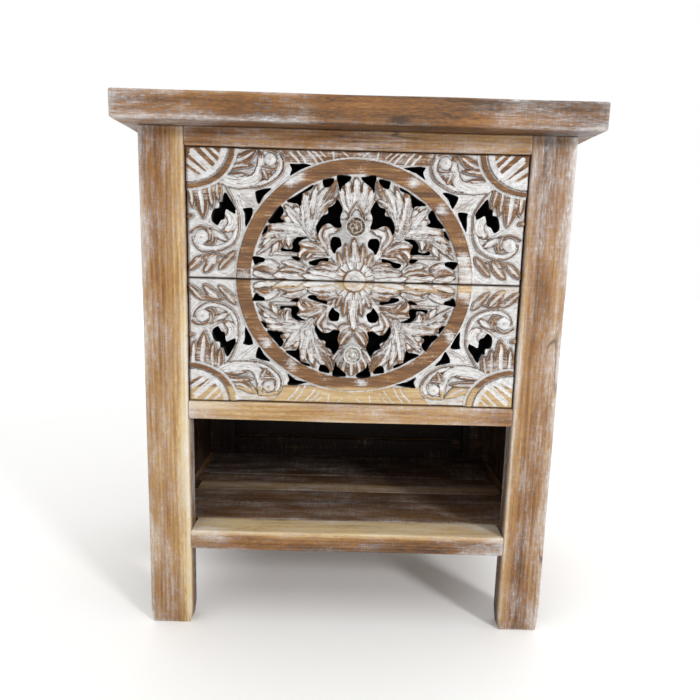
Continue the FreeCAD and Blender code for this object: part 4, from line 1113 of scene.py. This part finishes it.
class NIGHTSTAND_OT_top_boards(bpy.types.Operator):
    """Three planks of the top"""
    bl_idname = "nightstand.top_boards"
    bl_label = "Top boards"

    def execute(self, context):
        ends = (({X: (-1, 0.7)}, (-0.1, 0.42, 0.0)), ({X: (1, 0.6)}, (0.04, 0.4, 0.0)))
        hazes = (({X: (-0.3, 0.2), Y: (-1, 0.5)}, (0.0, 0.3, 0.0)),
                 ({X: (0.6, 0.2), Y: (-1, 0.5)}, (0.0, 0.2, 0.0)),
                 ({X: (-0.4, 0.7), Y: (-1, 0.5), Z: (-1, 0.7)}, (0.0, 0.35, 0.0)),
                 ({X: (0.3, 0.35), Y: (-1, 0.5)}, (0.12, 0.0, 0.0)))
        for which, tone, wash in (("front", 0.83, -0.13), ("middle", 0.72, -0.22), ("rear", 0.8, -0.22)):
            knot = (0.16, -1, -0.7) if which == "front" else NO_KNOT
            spots = ends + hazes if which == "front" else ends
            make_board(f"top_board_{which}", X, (tone, wash, 0.0), spots=spots, knot=knot)
        return {"FINISHED"}


class NIGHTSTAND_OT_rails(bpy.types.Operator):
    """Front, rear and side rails between the posts"""
    bl_idname = "nightstand.rails"
    bl_label = "Rails"

    def execute(self, context):
        left, right = {X: (-1, 0.4)}, {X: (1, 0.4)}
        rails = {
            "top": ((0.6, 0.12, 0.0), ()),
            "mid": ((0.42, 0.08, 0.0), ((left, (0.0, 0.3, 0.0)), (right, (0.3, 0.1, 0.0)))),
            "shelf": ((0.78, 0.0, 0.0), ((left, (0.0, 0.2, 0.0)), (right, (0.0, 0.32, 0.0)),
                                          ({Z: (1, 0.7)}, (-0.62, 0.12, 0.0)))),
        }
        for which, (finish, spots) in rails.items():
            make_board(f"front_{which}_rail", X, finish, span=between_posts("front"), spots=spots)
        # Inner faces of the rear and side rails are darkened: stain and painted shade
        for which in ("top", "shelf"):
            inside = stained(Y, -1, 0.6, 1.3)
            make_board(f"rear_{which}_rail", X, HIDDEN, span=between_posts("rear"), spots=(inside,))
            for side, into in SIDES.items():
                inside = stained(X, into, 2.0, 0.95)
                make_board(f"side_{which}_rail_{side}", Y, HIDDEN, span=between_rows(side), spots=(inside,))
        return {"FINISHED"}


class NIGHTSTAND_OT_panels(bpy.types.Operator):
    """Boards of the side and back panels, darkened inside with stain and painted shade"""
    bl_idname = "nightstand.panels"
    bl_label = "Panels"

    def execute(self, context):
        # Inner faces of the panels are darkened: stain and painted shade
        for index in (1, 2, 3):
            for side, into in SIDES.items():
                inside = stained(X, into, 1.8, 0.9)
                make_board(f"side_board_{side}_{index}", Z, (0.5, 0.22, 0.0), spots=(inside,))
            inside = stained(Y, -1, 1.8, 1.4)
            make_board(f"back_board_{index}", X, (0.6, 0.12, 0.0), spots=(inside,))
        return {"FINISHED"}


class NIGHTSTAND_OT_shelf(bpy.types.Operator):
    """Brown boards of the shelf"""
    bl_idname = "nightstand.shelf"
    bl_label = "Shelf boards"

    def execute(self, context):
        pale = ({Y: (-0.5, 0.7)}, (-0.5, 0.1, -0.35))
        # The shelf boards take the inside stain, most at the rear: stain and painted shade of the compartment
        boards = (("front", 0.75, 0.46, ()), ("middle", 0.75, 0.54, (pale,)), ("rear", 0.9, 0.68, ()))
        for which, tone, stain_and_shade, spots in boards:
            make_board(f"shelf_board_{which}", X, (tone, 0.2, stain_and_shade), spots=spots)
        return {"FINISHED"}


class NIGHTSTAND_OT_carved_fronts(bpy.types.Operator):
    """Pierced and carved drawer fronts"""
    bl_idname = "nightstand.carved_fronts"
    bl_label = "Carved fronts"

    def execute(self, context):
        for level in LEVELS:
            carved_front(level)
        return {"FINISHED"}


class NIGHTSTAND_OT_knobs(bpy.types.Operator):
    """Turned knobs"""
    bl_idname = "nightstand.knobs"
    bl_label = "Knobs"

    def execute(self, context):
        for level in LEVELS:
            turned_knob(level)
        return {"FINISHED"}


class NIGHTSTAND_OT_drawer_boxes(bpy.types.Operator):
    """Finishes of the drawer boxes, runners and fasteners"""
    bl_idname = "nightstand.drawer_boxes"
    bl_label = "Drawer boxes and fittings"

    def execute(self, context):
        along_x = finish_named(*RAW_ACROSS)
        along_y = finish_named(*RAW_ALONG)
        black = finish_named(*BLACK_STAINED)
        steel = finish_named("Zinc-plated steel", plated_steel)
        for level in LEVELS:
            drawer = f"{level}_drawer"
            dress([f"{drawer}_inner_front"], black)
            dress([f"{drawer}_back", f"{drawer}_bottom"], along_x)
            dress([f"{drawer}_side_{side}" for side in SIDES], along_y)
            dress([f"{drawer}_{part}" for part in ("front_screws", "knob_screw", "bottom_nails")], steel)
            dress([f"runner_{level}_{side}" for side in SIDES], along_y)
        dress([f"kicker_{side}" for side in SIDES] + ["drawer_stops"], along_y)
        dress(["top_screws"], steel)
        return {"FINISHED"}


# Lights: name, place, the spot that each is aimed at, power and size
LIGHTS = (
    ("key", (1.7, -2.0, 1.3), (0, 0, 0.35), 38, 0.4),
    ("fill", (-1.4, -1.9, 1.5), (0, 0, 0.35), 5, 1.4),
    ("ceiling", (0.0, 1.5, 3.4), (0, 1.5, 0.35), 240, 9.0),
)
# The camera fitted to the photograph: millimetres, metres and degrees
CAMERA_SENSOR, CAMERA_LENS = 36, 30.63
CAMERA_PLACE = (-0.0057, -0.7983, 0.4465)
CAMERA_TURN = (80.58, -1.53, -0.01)


class NIGHTSTAND_OT_stage(bpy.types.Operator):
    """Pale floor, soft light and the camera"""
    bl_idname = "nightstand.stage"
    bl_label = "Stage"

    def execute(self, context):
        scene = context.scene
        bm = bmesh.new()
        bmesh.ops.create_grid(bm, x_segments=1, y_segments=1, size=6)
        mesh = to_mesh(bm, "floor")
        # Away from the piece the floor glows, so that it ends in white
        material, add, coat = new_material("Pale studio floor")
        away = add("VectorMath", add("TexCoord")["Object"], operation="LENGTH")["Value"]
        glow = add("MapRange", away, 1.0, 4.0, 0.0, 0.4)[0]
        coat({"Base Color": colours("floor"), "Roughness": 0.9, "Emission Strength": glow})
        mesh.materials.append(material)
        floor = bpy.data.objects.new("floor", mesh)
        scene.collection.objects.link(floor)

        world = bpy.data.worlds.new("Studio")
        scene.world = world
        world.use_nodes = True
        tree = world.node_tree
        seen = add_node(tree, "LightPath")["Is Camera Ray"]
        strength = add_node(tree, "MapRange", inputs={0: seen, 3: 0.42, 4: 1.0})[0]
        plug(tree, tree.nodes["Background"], {"Color": (1, 1, 1, 1), "Strength": strength})
        for name, place, aim, power, size in LIGHTS:
            light = bpy.data.lights.new(name, "AREA")
            light.energy, light.size = power, size
            lamp = bpy.data.objects.new(name, light)
            lamp.location = place
            lamp.rotation_euler = (Vector(aim) - Vector(place)).to_track_quat("-Z", "Y").to_euler()
            scene.collection.objects.link(lamp)

        camera = bpy.data.cameras.new("camera")
        camera.sensor_width, camera.lens = CAMERA_SENSOR, CAMERA_LENS
        viewer = bpy.data.objects.new("camera", camera)
        viewer.location = CAMERA_PLACE
        viewer.rotation_euler = [math.radians(angle) for angle in CAMERA_TURN]
        scene.collection.objects.link(viewer)
        scene.camera = viewer
        scene.view_settings.view_transform = "Standard"
        return {"FINISHED"}


PIECES = (NIGHTSTAND_OT_posts, NIGHTSTAND_OT_top_boards, NIGHTSTAND_OT_rails, NIGHTSTAND_OT_panels,
          NIGHTSTAND_OT_shelf, NIGHTSTAND_OT_carved_fronts, NIGHTSTAND_OT_knobs, NIGHTSTAND_OT_drawer_boxes,
          NIGHTSTAND_OT_stage)


class NIGHTSTAND_PT_panel(bpy.types.Panel):
    """Lists the pieces and their sizes"""
    bl_idname = "NIGHTSTAND_PT_panel"
    bl_label = "Nightstand"
    bl_space_type = "VIEW_3D"
    bl_region_type = "UI"
    bl_category = "Nightstand"

    def draw(self, context):
        for group in (context.scene.nightstand_sizes, context.scene.nightstand_colours):
            for name in group.__annotations__:
                self.layout.prop(group, name)
        for piece in PIECES:
            self.layout.operator(piece.bl_idname)


CLASSES = (NightstandSizes, NightstandColours, *PIECES, NIGHTSTAND_PT_panel)


def register():
    for item in CLASSES:
        bpy.utils.register_class(item)
    bpy.types.Scene.nightstand_sizes = bpy.props.PointerProperty(type=NightstandSizes)
    bpy.types.Scene.nightstand_colours = bpy.props.PointerProperty(type=NightstandColours)


def unregister():
    del bpy.types.Scene.nightstand_colours
    del bpy.types.Scene.nightstand_sizes
    for item in reversed(CLASSES):
        bpy.utils.unregister_class(item)


def main():
    register()
    for piece in PIECES:
        group, name = piece.bl_idname.split(".")
        getattr(getattr(bpy.ops, group), name)()


if __name__ == "__main__":
    main()
